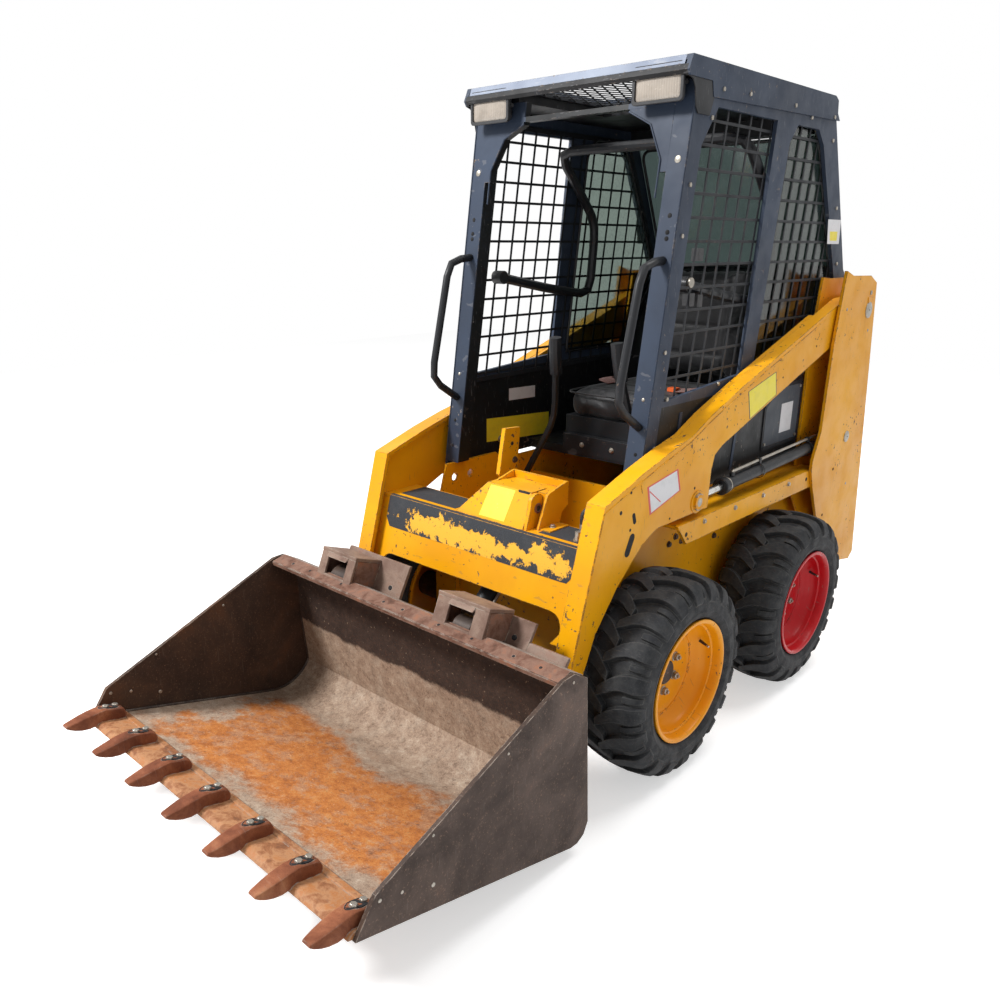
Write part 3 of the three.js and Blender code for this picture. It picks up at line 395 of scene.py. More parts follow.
def chrome():
    m = Mat("rod_chrome", Metallic=1.0)
    tone = m.mix(m.step(m.noise(30, 5, 0.7), 0.45, 0.7), (0.62, 0.62, 0.60), (0.40, 0.38, 0.35))
    lines = m.noise(40, 2, 0.5, 0.0, m.stretched((30, 1, 30)))
    return m.done(tone, m.step(lines, 0.3, 0.7, 0.16, 0.30), lines, 0.0001, 0.3)


def glass(name, colour, rough=0.04):
    """Tinted pane: mostly clear, darker where road dust has dried on it."""
    m = Mat(name, Transmission_Weight=1.0, IOR=1.45)
    dirt = m.times(m.step(m.noise(12, 6, 0.7), 0.42, 0.75), 0.45)
    tone = m.mix(dirt, colour, shade(colour, 0.72))
    tone = m.blotch(tone, shade(colour, 0.55), 0.35, 0.45, 0.62, 170, 3, 0.7)
    return m.done(tone, m.step(m.noise(20, 5, 0.7), 0.3, 0.8, rough, rough + 0.2))


def lens():
    m = Mat("lamp_lens", Coat_Weight=0.6, Coat_Roughness=0.1, Transmission_Weight=0.15)
    ribs = m.math("SINE", m.times(m.axis(0), 900.0))
    tone = m.mix(m.step(m.noise(14, 5, 0.6), 0.35, 0.75), (0.44, 0.38, 0.32), (0.30, 0.255, 0.21))
    tone = m.mix(m.times(m.step(ribs, 0.2, 1.0), 0.25), tone, (0.50, 0.46, 0.40))
    return m.done(tone, m.vary(0.15, 0.3, 40, 3), ribs, 0.0006, 0.4)


def vinyl():
    """Black seat vinyl with a pebbled grain and grey scuffs."""
    m = Mat("seat_vinyl", Sheen_Weight=0.15, Sheen_Roughness=0.5)
    grain = m.cells(420, randomness=1.0)
    tone = m.mix(m.step(m.noise(7, 5, 0.65), 0.4, 0.75), (0.008, 0.008, 0.010), (0.018, 0.018, 0.020))
    tone = m.blotch(tone, (0.07, 0.068, 0.062), 0.3, 0.58, 0.72, 30, 4, 0.7)
    return m.done(tone, m.vary(0.42, 0.62, 18, 4), grain, 0.0006, 0.5)


def grip_tape(name, colour, wear, wear_colour):
    """A rough black coating, scraped through to the paint in ragged patches."""
    m = Mat(name)
    rough = m.noise(420, 3, 0.8)
    base = m.mix(m.step(rough, 0.4, 0.65), colour, shade(colour, 1.9))
    base = m.blotch(base, (0.055, 0.054, 0.055), 0.5, 0.48, 0.7, 16, 5, 0.7)
    # worn through most in a band along the middle of the front, less towards both ends
    ragged = m.plus(m.times(m.noise(30, 7, 0.72, 0.3), 0.75), m.times(m.noise(7, 3), 0.4))
    off_band = m.size(m.minus(m.axis(2), 0.619))
    band = m.times(m.minus(0.034, off_band), wear)
    ends = m.times(m.step(m.size(m.axis(0)), 0.22, 0.34), -0.13)
    through = m.step(m.plus(m.plus(ragged, band), ends), 0.600, 0.625)
    tone = m.mix(through, base, wear_colour)
    spots = m.step(m.noise(110, 4, 0.7), 0.64, 0.68)
    tone = m.mix(m.times(spots, through), tone, (0.05, 0.03, 0.015))
    return m.done(tone, m.step(through, 0, 1, 0.85, 0.45), m.minus(rough, through), 0.0012, 0.6)


def decal(name, colour, fade=0.25):
    """A blank sticker: plain colour, a little faded and scuffed."""
    m = Mat(name, Coat_Weight=0.2, Coat_Roughness=0.3)
    tone = m.mix(m.times(m.step(m.noise(30, 6, 0.7), 0.45, 0.7), fade), colour, shade(colour, 0.6, 0.02))
    scuff = m.step(m.noise(90, 4, 0.7), 0.66, 0.70)
    tone = m.mix(m.times(scuff, 0.5), tone, (0.25, 0.22, 0.18))
    return m.done(tone, m.vary(0.35, 0.55, 40, 3), m.noise(200, 3), 0.0002, 0.3)


def fabric(name, colour, weave=900.0):
    """Woven webbing."""
    m = Mat(name, Sheen_Weight=0.3, Sheen_Roughness=0.5)
    ribs = m.math("SINE", m.times(m.plus(m.axis(2), m.axis(1)), weave * 3))
    tone = m.mix(m.step(ribs, -1, 1), shade(colour, 0.75), colour)
    tone = m.blotch(tone, shade(colour, 0.5), 0.4, 0.5, 0.75, 40, 5, 0.7)
    return m.done(tone, m.vary(0.7, 0.9, 60, 3), ribs, 0.0006, 0.5)


def plastic(name, colour, rough=0.5, mottled=0.3):
    """Moulded plastic or rubber with a fine grain and paler, dusty mottling."""
    m = Mat(name)
    tone = m.mix(m.times(m.step(m.noise(22, 5, 0.7), 0.45, 0.75), mottled), colour, shade(colour, 1.8, 0.02))
    return m.done(tone, m.vary(rough, rough + 0.2, 50, 4), m.cells(700), 0.0003, 0.4)


INSIDE = bucket_inside()
RUBBER = rubber()
CHROME = chrome()
GREEN_GLASS = glass("tinted_glass", (0.20, 0.25, 0.22))
REAR_GLASS = glass("rear_tinted_glass", (0.060, 0.085, 0.080))
LENS = lens()
VINYL = vinyl()
GRIP_TAPE = grip_tape("step_coating", (0.020, 0.022, 0.026), 4.2, (0.86, 0.42, 0.02))
YELLOW_DECAL = decal("yellow_decal", (0.86, 0.72, 0.03))
WHITE_DECAL = decal("white_decal", (0.72, 0.72, 0.74))
RED_DECAL = decal("red_border", (0.62, 0.05, 0.04))
BLACK_DECAL = decal("black_decal", (0.02, 0.02, 0.022))
BELT = fabric("belt_webbing", (0.17, 0.035, 0.015))
HOSE = plastic("hose_rubber", (0.014, 0.014, 0.016), 0.5)
MOULDED = plastic("moulded_plastic", (0.018, 0.018, 0.020), 0.45)
ORANGE = plastic("orange_plastic", (0.75, 0.12, 0.02), 0.4, 0.1)
RED_LENS = glass("red_lens", (0.75, 0.03, 0.02), 0.12)
AMBER_LENS = glass("amber_lens", (0.90, 0.35, 0.02), 0.12)
# near-black fill used as painted shade in holes, slots, pockets, recesses and gaps
PAINTED_SHADE = plastic("shadowed_inside", (0.006, 0.006, 0.007), 0.8, 0.1)
# paler slate for the roof's front lip: sun-bleached paint and a painted highlight
BLEACHED_AND_LIT = paint("bleached_and_highlit_paint", (0.30, 0.34, 0.42), (0.20, 0.23, 0.30), (0.45, 0.45, 0.46), chips=0.5,
              dust=0.2, dust_colour=(0.45, 0.45, 0.45), gloss=0.45, coat=0.0, rust=(0.15, 0.10, 0.06))
FADED_DARK = paint("panel_grey_paint", (0.10, 0.115, 0.135), (0.075, 0.085, 0.10), (0.25, 0.25, 0.25),
                   chips=0.4, dust=0.2, dust_colour=(0.2, 0.2, 0.2), gloss=0.42, coat=0.0)


# ------------------------------------------------------------------ geometry
class Piece:
    """Collects closed shapes with their materials and makes them one object that rides on a body."""

    def __init__(self, name, body, slot):
        self.name, self.body, self.slot = name, body, slot
        self.verts, self.faces, self.which, self.mats, self.smooth = [], [], [], [], []
        self.material = None

    def use(self, material):
        if material not in self.mats:
            self.mats.append(material)
        self.material = material
        return self

    def raw(self, points, faces, smooth=False):
        start = len(self.verts)
        self.verts += [tuple(p) for p in points]
        self.faces += [[start + i for i in f] for f in faces]
        self.which += [self.mats.index(self.material)] * len(faces)
        self.smooth += [smooth] * len(faces)
        return self

    def box(self, low, high, turn=None):
        (x0, y0, z0), (x1, y1, z1) = low, high
        points = [Vector(p) for p in ((x0, y0, z0), (x1, y0, z0), (x1, y1, z0), (x0, y1, z0),
                                      (x0, y0, z1), (x1, y0, z1), (x1, y1, z1), (x0, y1, z1))]
        if turn is not None:
            centre = (Vector(low) + Vector(high)) / 2
            points = [turn @ (p - centre) + centre for p in points]
        return self.raw(points,
                        [(3, 2, 1, 0), (4, 5, 6, 7), (0, 1, 5, 4), (1, 2, 6, 5), (2, 3, 7, 6), (3, 0, 4, 7)])

    def prism(self, outline, low, high, axis="x"):
        """An outline pushed along an axis. The outline is (y, z), (x, z) or (x, y)."""
        place = {"x": lambda a, b, c: (c, a, b), "y": lambda a, b, c: (a, c, b),
                 "z": lambda a, b, c: (a, b, c)}[axis]
        n = len(outline)
        ring = list(outline) if (area_of(outline) > 0) != (axis == "y") else list(outline)[::-1]
        points = [place(*p, low) for p in ring] + [place(*p, high) for p in ring]
        faces = [list(range(n))[::-1], list(range(n, 2 * n))]
        return self.raw(points, faces + [(i, (i + 1) % n, n + (i + 1) % n, n + i) for i in range(n)])

    def loft(self, rings, closed=False, smooth=True):
        """Skins equal rings of points; closed joins the last ring to the first."""
        n, k = len(rings[0]), len(rings)
        points = [p for r in rings for p in r]
        faces = []
        for i in range(k if closed else k - 1):
            for j in range(n):
                a, b = i * n + j, i * n + (j + 1) % n
                c, d = ((i + 1) % k) * n + (j + 1) % n, ((i + 1) % k) * n + j
                faces.append((a, b, c, d))
        self.raw(points, faces, smooth)
        if not closed:
            start = len(self.verts) - n * k
            self.faces += [[start + j for j in range(n)][::-1], [start + (k - 1) * n + j for j in range(n)]]
            self.which += [self.mats.index(self.material)] * 2
            self.smooth += [False] * 2
        return self

    def rod(self, a, b, radius, sides=16, end_radius=None):
        a, b = Vector(a), Vector(b)
        side, up = frame_of(b - a)
        return self.loft([circle(p, side, up, r, sides) for p, r in ((a, radius), (b, end_radius or radius))])

    def tube(self, path, radius, sides=10, bend=0.0):
        points = rounded(path, bend) if bend else [Vector(p) for p in path]
        rings, side = [], None
        for i, p in enumerate(points):
            run = (points[min(i + 1, len(points) - 1)] - points[max(i - 1, 0)]).normalized()
            if side is None:
                side, up = frame_of(run)
            side = (side - run * side.dot(run)).normalized()
            up = run.cross(side)
            rings.append(circle(p, side, up, radius, sides))
        return self.loft(rings)

    def lathe(self, profile, centre, axis=(1, 0, 0), sides=48):
        """Turns (along, radius) points about an axis through centre."""
        run = Vector(axis).normalized()
        side, up = frame_of(run)
        centre = Vector(centre)
        return self.loft([[centre + run * s + (side * math.cos(t) + up * math.sin(t)) * r for s, r in profile]
                          for t in turns(sides)], closed=True)

    def button(self, p, axis, radius, height, sides=16, sink=1.0, crown=None):
        """A round head on p; crown is (height, radius) of its flat top where that is smaller."""
        rim = [(height, radius)] + ([crown] if crown else [])
        return self.lathe([(-sink, 0.05), (-sink, radius), *rim, (rim[-1][0], 0.05)], p, axis, sides)

    def bolt(self, p, axis, size=9.0, head=7.0, washer=True, stud=0.0):
        """A hexagon head on a washer, standing on p along axis; size is half its width over flats."""
        run = Vector(axis).normalized()
        side, up = frame_of(run)
        p = Vector(p)
        base = 0.0
        if washer:
            self.lathe([(-1.0, 0.01), (-1.0, size * 1.45), (1.6, size * 1.45), (2.2, size * 1.3),
                        (2.2, 0.01)], p, run, 20)
            base = 2.0
        corner = size / math.cos(math.pi / 6)
        self.loft([circle(p + run * h, side, up, r, 6) for h, r in (
            (base - 2.5, corner), (base + head * 0.82, corner), (base + head, corner * 0.82))], smooth=False)
        if stud:
            self.rod(p + run * base, p + run * (base + head + stud), size * 0.5, 12)
        return self

    def make(self, bevel=0.0, segments=2, angle=30, smooth_all=False):
        mesh = bpy.data.meshes.new(self.name)
        mesh.from_pydata([at(p) for p in self.verts], [], self.faces)
        for material in self.mats:
            mesh.materials.append(material)
        mesh.polygons.foreach_set("material_index", self.which)
        mesh.polygons.foreach_set("use_smooth",
                                  [True] * len(self.faces) if (bevel or smooth_all) else self.smooth)
        mesh.update()
        obj = bpy.data.objects.new(self.name, mesh)
        bpy.context.scene.collection.objects.link(obj)
        mesh.set_sharp_from_angle(angle=math.radians(angle + 5 if not bevel else 80))
        if bevel:
            rounded_edges(obj, bevel, segments, angle)
        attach(obj, self.body)
        return obj


def bolt_row(piece, side, x, places, across, height, **how):
    """Zinc bolts on a side face at x, one at each (y, z)."""
    for y, z in places:
        piece.use(ZINC).bolt((side * x, y, z), (side, 0, 0), across, height, **how)


def disc(piece, material, p, axis, radius, depth=0.8, sides=16):
    """A low round head on p."""
    return piece.use(material).button(p, axis, radius, depth * 0.5, sides, 2, (depth, radius * 0.8))


def disc_row(piece, material, side, x, places, depth=0.8):
    """Low round heads on a side face at x, one at each (y, z, radius)."""
    for y, z, radius in places:
        disc(piece, material, (side * x, y, z), (side, 0, 0), radius, depth)


def band(piece, material, centre, axis, half, inner, radius):
    """A ring round a barrel, its outer corners cut back."""
    soft = 0.8
    piece.use(material).lathe([(-half, inner), (-half, radius - soft), (-half + soft, radius),
                               (half - soft, radius), (half, radius - soft), (half, inner)], centre, axis, 40)


def on_side(side, x, points):
    """Points (y, z) as vectors in a side plane."""
    return [Vector((side * x, y, z)) for y, z in points]


def bar_outline(a, b, width):
    """The four corners of a straight bar between two points in a plane."""
    a, b = Vector(a), Vector(b)
    run = (b - a).normalized()
    off = Vector((-run.y, run.x)) * width / 2
    return [tuple(p) for p in (a - off, b - off, b + off, a + off)]


def area_of(outline):
    """Twice an outline's area: above 0 when it runs anticlockwise."""
    return sum(a[0] * b[1] - b[0] * a[1] for a, b in zip(outline, outline[1:] + outline[:1]))


def turns(n):
    """n angles spread evenly round a circle."""
    return [2 * math.pi * i / n for i in range(n)]


def circle(centre, side, up, radius, sides):
    return [centre + (side * math.cos(t) + up * math.sin(t)) * radius for t in turns(sides)]


def frame_of(run):
    """Two unit vectors square to a direction."""
    run = Vector(run).normalized()
    other = Vector((0, 0, 1)) if abs(run.z) < 0.9 else Vector((0, 1, 0))
    side = run.cross(other).normalized()
    return side, side.cross(run).normalized() * -1


def rounded(path, bend, steps=6):
    """The path with each inner corner replaced by a smooth curve."""
    path = [Vector(p) for p in path]
    out = [path[0]]
    for before, here, after in zip(path, path[1:], path[2:]):
        reach = min(bend, (before - here).length * 0.48, (after - here).length * 0.48)
        a, b = here + (before - here).normalized() * reach, here + (after - here).normalized() * reach
        for i in range(steps + 1):
            t = i / steps
            out.append(a * (1 - t) ** 2 + here * 2 * t * (1 - t) + b * t * t)
    out.append(path[-1])
    return out


def rounded_edges(obj, width, segments=2, angle=30):
    """Rounds an object's edges by width millimetres, with clean shading on its flat faces."""
    bevel = obj.modifiers.new("Bevel", "BEVEL")
    bevel.width, bevel.segments = width * MM, segments
    bevel.limit_method, bevel.angle_limit = "ANGLE", math.radians(angle)
    bevel.use_clamp_overlap = True
    obj.modifiers.new("Normals", "WEIGHTED_NORMAL").keep_sharp = True


def carry(name, material, bevel=1.5, segments=2, angle=30):
    """Gives a CAD node that stays its material, rounded edges and smooth shading."""
    node = frame["nodes"][name]
    mesh = node.data
    if "custom_normal" in mesh.attributes:
        mesh.attributes.remove(mesh.attributes["custom_normal"])
    mesh.polygons.foreach_set("use_smooth", [True] * len(mesh.polygons))
    node.material_slots[0].material = material
    weld = node.modifiers.new("Weld", "WELD")
    weld.merge_threshold = 2e-5
    if bevel:
        rounded_edges(node, bevel, segments, angle)
    return node


def pair(name, slot, bodies, build, bevel=0.0, **options):
    """Builds a piece on each side; build(piece, side) gets side 1 on the left and -1 on the right.

    bodies is the body both ride on, or the name that the two sides' bodies share after left_ and right_.
    """
    made = []
    for word, side in SIDES:
        body = bodies if bodies in frame["bodies"] else f"{word}_{bodies}"
        piece = Piece(f"{word}_{name}", body, slot)
        build(piece, side)
        made.append(piece.make(bevel, **options))
    return made


# ------------------------------------------------------------------ CAD nodes that stay
for material, width, names in (
        (YELLOW, 1.5, "chassis_frame left_upright right_upright left_lift_arm right_lift_arm"),
        (YELLOW, 2, "cross_member cylinder_guard"), (YELLOW, 2.5, "tailgate"), (YELLOW, 3, "rear_bumper"),
        (BLACK, 0, "left_grab_handle right_grab_handle"), (BLACK, 0.5, "seat_bar"),
        (BLACK, 0.8, "left_steering_lever right_steering_lever"),
        (BLACK, 1.2, "left_lift_barrel right_lift_barrel tilt_barrel"),
        (BLACK, 1.5, "left_gate_post right_gate_post"), (BLACK, 2, "engine_hood"),
        (BLACK, 4, "engine_block seat_base"), (CAB_SHELL, 1.2, "cab_frame"), (ROOF_SHELL, 3, "cab_roof"),
        (CHROME, 0.8, "left_lift_rod right_lift_rod tilt_rod"), (OUTER_STEEL, 1.2, "bucket_shell"),
        (DARK_STEEL, 1.5, "quick_attach"), (REAR_GLASS, 0.4, "rear_window"),
        (DARK_STEEL, 2, "left_front_axle left_rear_axle right_front_axle right_rear_axle")):
    for node in names.split():
        carry(node, material, width)


# ------------------------------------------------------------------ wheels
LUGS, TREAD_RADIUS = 20, 280
# each row: lug top (across, radius), lug foot (across, radius), shift along the tread, half width
LUG_ROWS = ((-12, 285.6, -12, 264, 43, 13), (6, 285.9, 6, 264, 29, 17), (26, 285.0, 26, 263, 14, 19),
            (46, 282.6, 46, 262, 4, 21), (66, 279.0, 64, 259, 0, 23), (82, 274.6, 78, 255, 0, 24),
            (92, 267.5, 87, 248, 0, 24), (100, 256, 95, 240, 0, 23), (105, 243, 100, 230, 0, 22),
            (107, 230, 103, 222, 0, 20))
STEP_ROWS = ((58, 271, 58, 258, 2, 9), (76, 268, 74, 254, 1, 10), (88, 260, 84, 246, 0, 10),
             (97, 248, 93, 236, 0, 9), (101, 238, 98, 230, 0, 8))
CARCASS = [(0, 269.5), (30, 269), (58, 266), (76, 261), (87, 253), (96, 241), (102.5, 228), (105.5, 214),
           (105, 203), (106.5, 199), (105.5, 195), (102, 187), (97.5, 180), (94.5, 176.5), (92, 176),
           (88, 169), (60, 168.6)]


def tyre(piece, centre):
    """A worn loader tyre: rounded carcass, and on each side a ring of hooked lugs with low steps between."""
    piece.use(RUBBER).lathe(CARCASS + [(-s, r) for s, r in CARCASS[:0:-1]], centre, sides=72)
    for hand in (1, -1):
        for i in range(LUGS):
            for rows, share in ((LUG_ROWS, 0.0), (STEP_ROWS, 0.5)):
                turn = (i + share + (0.5 if hand < 0 else 0)) / LUGS * 2 * math.pi
                worn = rng.uniform(-0.6, 0.2)
                rings = []
                for top_s, top_r, foot_s, foot_r, shift, half in rows:
                    ring = []
                    for s, r, c in ((foot_s, foot_r, -half - 3), (top_s, top_r + worn, -half + 1.5),
                                    (top_s, top_r + worn, half - 1.5), (foot_s, foot_r, half + 3)):
                        a = turn + (c + shift) / TREAD_RADIUS
                        ring.append(Vector(centre) + Vector((s * hand, -r * math.sin(a), r * math.cos(a))))
                    rings.append(ring if hand > 0 else ring[::-1])
                piece.loft(rings, smooth=False)


# (across from the wheel's middle plane, radius), outer face first
RIM = [(101.5, 165), (102, 170), (101.2, 173), (98.5, 174), (96.2, 172.5), (95.6, 168.2), (60, 168),
       (-60, 168), (-90, 168), (-91, 172), (-93, 174), (-97, 174), (-99.5, 172), (-99.5, 162), (-92, 160),
       (-30, 156), (-8, 150), (0, 140), (4, 126), (4, 40), (4, 1), (16, 1), (16, 40), (17, 100), (19, 116),
       (24, 126), (36, 135), (44, 141), (50, 147), (62, 150.5), (72, 152), (75, 156.5), (88, 158.5),
       (94, 160), (98.5, 161.5)]


def wheel_rim(piece, centre, side, paint_material):
    """A dished steel wheel: rolled lip, conical disc with a welded ring, hub cap, bolts and a valve."""
    c = Vector(centre)
    piece.use(paint_material).lathe([(s * side, r) for s, r in RIM], centre, sides=80)
    ring = [(side * (22 + 2.6 * math.cos(a)), 123 + 2.6 * math.sin(a)) for a in turns(8)]
    piece.lathe(ring, centre, sides=80)
    hub = [(16, 1), (16, 36), (24, 34), (27, 30), (28, 1)]
    piece.use(DARK_STEEL).lathe([(s * side, r) for s, r in hub], centre, sides=32)
    for i in range(6):
        a = math.pi / 6 + i * math.pi / 3
        spot = c + Vector((side * 16, 58 * math.cos(a), 58 * math.sin(a)))
        piece.use(ZINC).bolt(spot, (side, 0, 0), 9.5, 12, stud=5)
    stem = c + Vector((side * 50, 122, 62))
    piece.use(MOULDED).rod(stem, stem + Vector((side * 26, -7, -4)), 4.6, 12, 3.4)
    piece.use(ZINC).rod(stem + Vector((side * 24, -6.5, -3.7)), stem + Vector((side * 33, -9, -5)), 3.2, 10)


for word, side in SIDES:
    for end in ("front", "rear"):
        wheel = f"{word}_{end}_wheel"
        hub_place = WHEELS[wheel]
        middle = (hub_place.x / MM, (hub_place.y - MID_Y) / MM, hub_place.z / MM)
        tread = Piece(f"{word}_{end}_tyre_tread", wheel, "tyre")
        tyre(tread, middle)
        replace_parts(tread.make(bevel=2.2, segments=2, angle=28), f"{word}_{end}_tyre")
        rim = Piece(f"{word}_{end}_wheel_rim", wheel, f"{end}_rim_paint")
        wheel_rim(rim, middle, side, FRONT_RIM if end == "front" else REAR_RIM)
        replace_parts(rim.make(smooth_all=True), f"{word}_{end}_rim")


# ------------------------------------------------------------------ bucket
HALF, CHEEK = 559, 10


def bk(x, u, w):
    """A bucket point: across, forward from the heel along the floor, and up from the floor."""
    return Vector((x, HEEL[0] - u * math.cos(TIP) + w * math.sin(TIP),
                   HEEL[1] + u * math.sin(TIP) + w * math.cos(TIP)))


FORWARD, UPRIGHT = (bk(0, 1, 0) - bk(0, 0, 0)), (bk(0, 0, 1) - bk(0, 0, 0))


def bucket_prism(piece, outline, low, high):
    return piece.prism([tuple(bk(0, u, w))[1:] for u, w in outline], low, high)


def arc2(centre, radius, start, end, steps):
    """Points on an arc in a plane, from one angle in degrees to another."""
    angles = [math.radians(start + (end - start) * i / steps) for i in range(steps + 1)]
    return [(centre[0] + radius * math.cos(a), centre[1] + radius * math.sin(a)) for a in angles]


# the worn inside: a thin liner that follows the floor, the curve and the back
FOOT = arc2((112, 142), 130, 268, 196, 14)
INNER = [(573, 12.3), (400, 12.2), (250, 12.2), *((u + 0.3, w + 0.3) for u, w in FOOT), (40, 250),
         (88.5, 421)]
lining = Piece("bucket_lining", "bucket", "rusty_steel").use(INSIDE)
LINING_THICK, LINING_HALF, LINING_COLUMNS = 0.7, 548.5, 24
outer = [bk(0, u, w) for u, w in INNER]
rings = []
for i in range(LINING_COLUMNS + 1):
    x = LINING_HALF * (2 * i / LINING_COLUMNS - 1)
    front = [Vector((x, p.y, p.z)) for p in outer]
    back = []
    for k, p in enumerate(outer):
        run = outer[min(k + 1, len(outer) - 1)] - outer[max(k - 1, 0)]
        normal = Vector((0, -run.z, run.y)).normalized()
        back.append(Vector((x, p.y, p.z)) + normal * LINING_THICK)
    rings.append(front + back[::-1])
lining.loft(rings)
lining.make(smooth_all=True)

trim = Piece("bucket_trim", "bucket", "dark_steel")
# weld beads where the cheeks meet the floor, the curve and the back
for side in (1, -1):
    path = [bk(side * 546, u, w + 2) for u, w in INNER[:-1]]
    trim.use(DARK_STEEL).tube(path, 4.2, 8)
# the front lip's folded strip and the shelf behind it
bucket_prism(trim.use(SHELF_STEEL), [(84, 436.5), (136, 450.3), (136.4, 451.6), (83.6, 437.9)], -547, 547)
trim.use(LIP_STEEL)
bucket_prism(trim, [(136.3, 450.6), (174.2, 428.6), (175.2, 430.2), (137.2, 452.2)], -547, 547)
bucket_prism(trim, [(174.6, 428.2), (170.4, 418.4), (172.2, 417.6), (176.4, 427.6)], -547, 547)
# small holes along the lip, each a dark plug of painted shade
lip_normal = (bk(0, 136.3, 450.6) - bk(0, 174.2, 428.6)).cross(Vector((1, 0, 0))).normalized()
if lip_normal.z < 0:
    lip_normal = -lip_normal
for x in (-470, -387, -242, -60, 15, 150, 265, 399, 480):
    spot = bk(x, 157, 440.4)
    trim.use(PAINTED_SHADE).rod(spot - lip_normal * 2, spot + lip_normal * 0.6, 4.6, 12)
trim.make(bevel=0.6, segments=1)


def shelf_bracket(piece, low, high):
    """A welded box with a square hole in its front, standing on the shelf behind the lip."""
    u0, u1, w0, w1 = 74, 160, 440, 512
    wall = 8
    piece.use(GREY_STEEL)
    middle, half_hole = (low + high) / 2, 42
    left, right, bottom, roof = middle - half_hole, middle + half_hole, w0 + 10, w1 - 13
    for a, b, c, d in ((low, left, w0, w1), (right, high, w0, w1), (left, right, roof, w1),
                       (left, right, w0, bottom)):
        lean = (d - w0) * 0.15
        corner = [bk(a, u1 - wall, c), bk(b, u1 - wall, c), bk(b, u1 - wall - lean, d),
                  bk(a, u1 - wall - lean, d)]
        piece.loft([corner, [p - FORWARD * wall for p in corner]], smooth=False)
    top = [(u1 - 18, w1 - 1), (u0 - 26, w1 - 8), (u0 - 26, w1 + 2), (u1 - 18, w1 + 9)]
    bucket_prism(piece, top, low - 1, high + 1)
    for x in (low, high - 9):
        piece.use(LIP_STEEL)
        bucket_prism(piece, [(u1 - 19, w0), (u0 - 14, w0 - 6), (u0 - 26, w1 - 8), (u1 - 27, w1 - 2)], x,
                     x + 9)


mounts = Piece("bucket_brackets", "bucket", "dark_steel")
for low, high in ((-362, -214), (118, 292)):
    shelf_bracket(mounts, low, high)
# long flange plates behind the brackets, with a hole near each end, drawn as a dark plug of painted shade
for low, high, lift in ((-362, -100, 26), (118, 362, 0)):
    mounts.use(GREY_STEEL)
    ends = [(66, 430), (44, 498 + lift), (34, 498 + lift), (56, 424)]
    bucket_prism(mounts, ends, low, high)
    for x in (low + 30, high - 46):
        mounts.use(PAINTED_SHADE).rod(bk(x, 63, 452), bk(x, 46, 450), 7, 14)
# outside the arms' reach the flange is only a low strip
for low, high in ((-437, -362), (362, 482)):
    bucket_prism(mounts.use(GREY_STEEL), [(66, 430), (58, 452), (48, 452), (56, 424)], low, high)
# curved hook plate seen through each square hole
for x in (-288, 205):
    mounts.use(DARK_STEEL)
    bend = arc2((104, 440), 36, 20, 160, 8)
    bucket_prism(mounts, bend + [(u, w - 9) for u, w in bend[::-1]], x - 30, x + 30)
mounts.make(bevel=1.6, segments=2)

# cheek bolts, ribs behind the back, and strips under the floor
cheeks = Piece("bucket_cheek_details", "bucket", "dark_steel")
for side in (1, -1):
    for u, w, size in ((620, 70, 4.4), (565, 69, 4.0), (480, 57, 5.2), (506, 168, 3.4), (320, 299, 3.4),
                       (135, 430, 3.6)):
        for x, way, sink in ((HALF, side, 12), (HALF - CHEEK, -side, 2)):
            cheeks.use(ZINC).button(bk(side * x, u, w), (way, 0, 0), size, 0.9, 16, sink, (1.6, size * 0.6))
# upright ribs on the back's outer face
cheeks.use(OUTER_STEEL)
for x in (-500, -180, 180, 500):
    bucket_prism(cheeks, [(76, 410), (34, 250), (26, 250), (62, 420)], x - 5, x + 5)
# the weld between the floor and the cutting edge
cheeks.use(DARK_STEEL).tube([bk(x, 574.5, 13.8) for x in (-546, 546)], 2.6, 8)
for u in (150, 300, 450):
    bucket_prism(cheeks.use(OUTER_STEEL), [(u - 22, 0.5), (u + 22, 0.5), (u + 18, -5.5), (u - 18, -5.5)],
                 -540, 540)
cheeks.make(bevel=0.8, segments=1)

# the cutting edge: a plate with a worn step, and forged teeth over it, their bolts in a pocket whose shade is
# painted dark
teeth = Piece("bucket_edge", "bucket", "rusty_steel")
# half its width, where it starts in front of the floor, and the middle of each tooth's pocket
HALF_EDGE, START, POCKET = 548.7, 575.3, 634
TEETH, END_GAP = 7, 30
teeth.use(EDGE_STEEL)
bucket_prism(teeth, [(START, 0), (673, 0), (668, 10), (659, 15.4), (640, 16.2), (START, 16.2)], -HALF_EDGE,
             HALF_EDGE)
bucket_prism(teeth, [(START + 1, 15.9), (START + 21, 15.9), (START + 19, 19), (START + 2, 19)],
             -HALF_EDGE + 0.6, HALF_EDGE - 0.6)
# the tooth from root to tip: (forward, underside, top, half width)
NOSE = [(592, 19, 31, 15), (600, 18, 41, 18), (614, 17, 47, 20), (652, 15, 48, 21), (668, 6, 44, 21.4),
        (688, -1, 37, 21), (706, -3, 29, 19.6), (722, -2, 21, 17.6), (736, 1, 14, 14.6), (744, 4, 10, 11.5)]
first = HALF_EDGE - END_GAP


def tooth_top(u):
    """The height of a tooth's top at u."""
    return max(a[2] + (b[2] - a[2]) * (u - a[0]) / (b[0] - a[0])
               for a, b in zip(NOSE, NOSE[1:]) if a[0] <= u <= b[0])


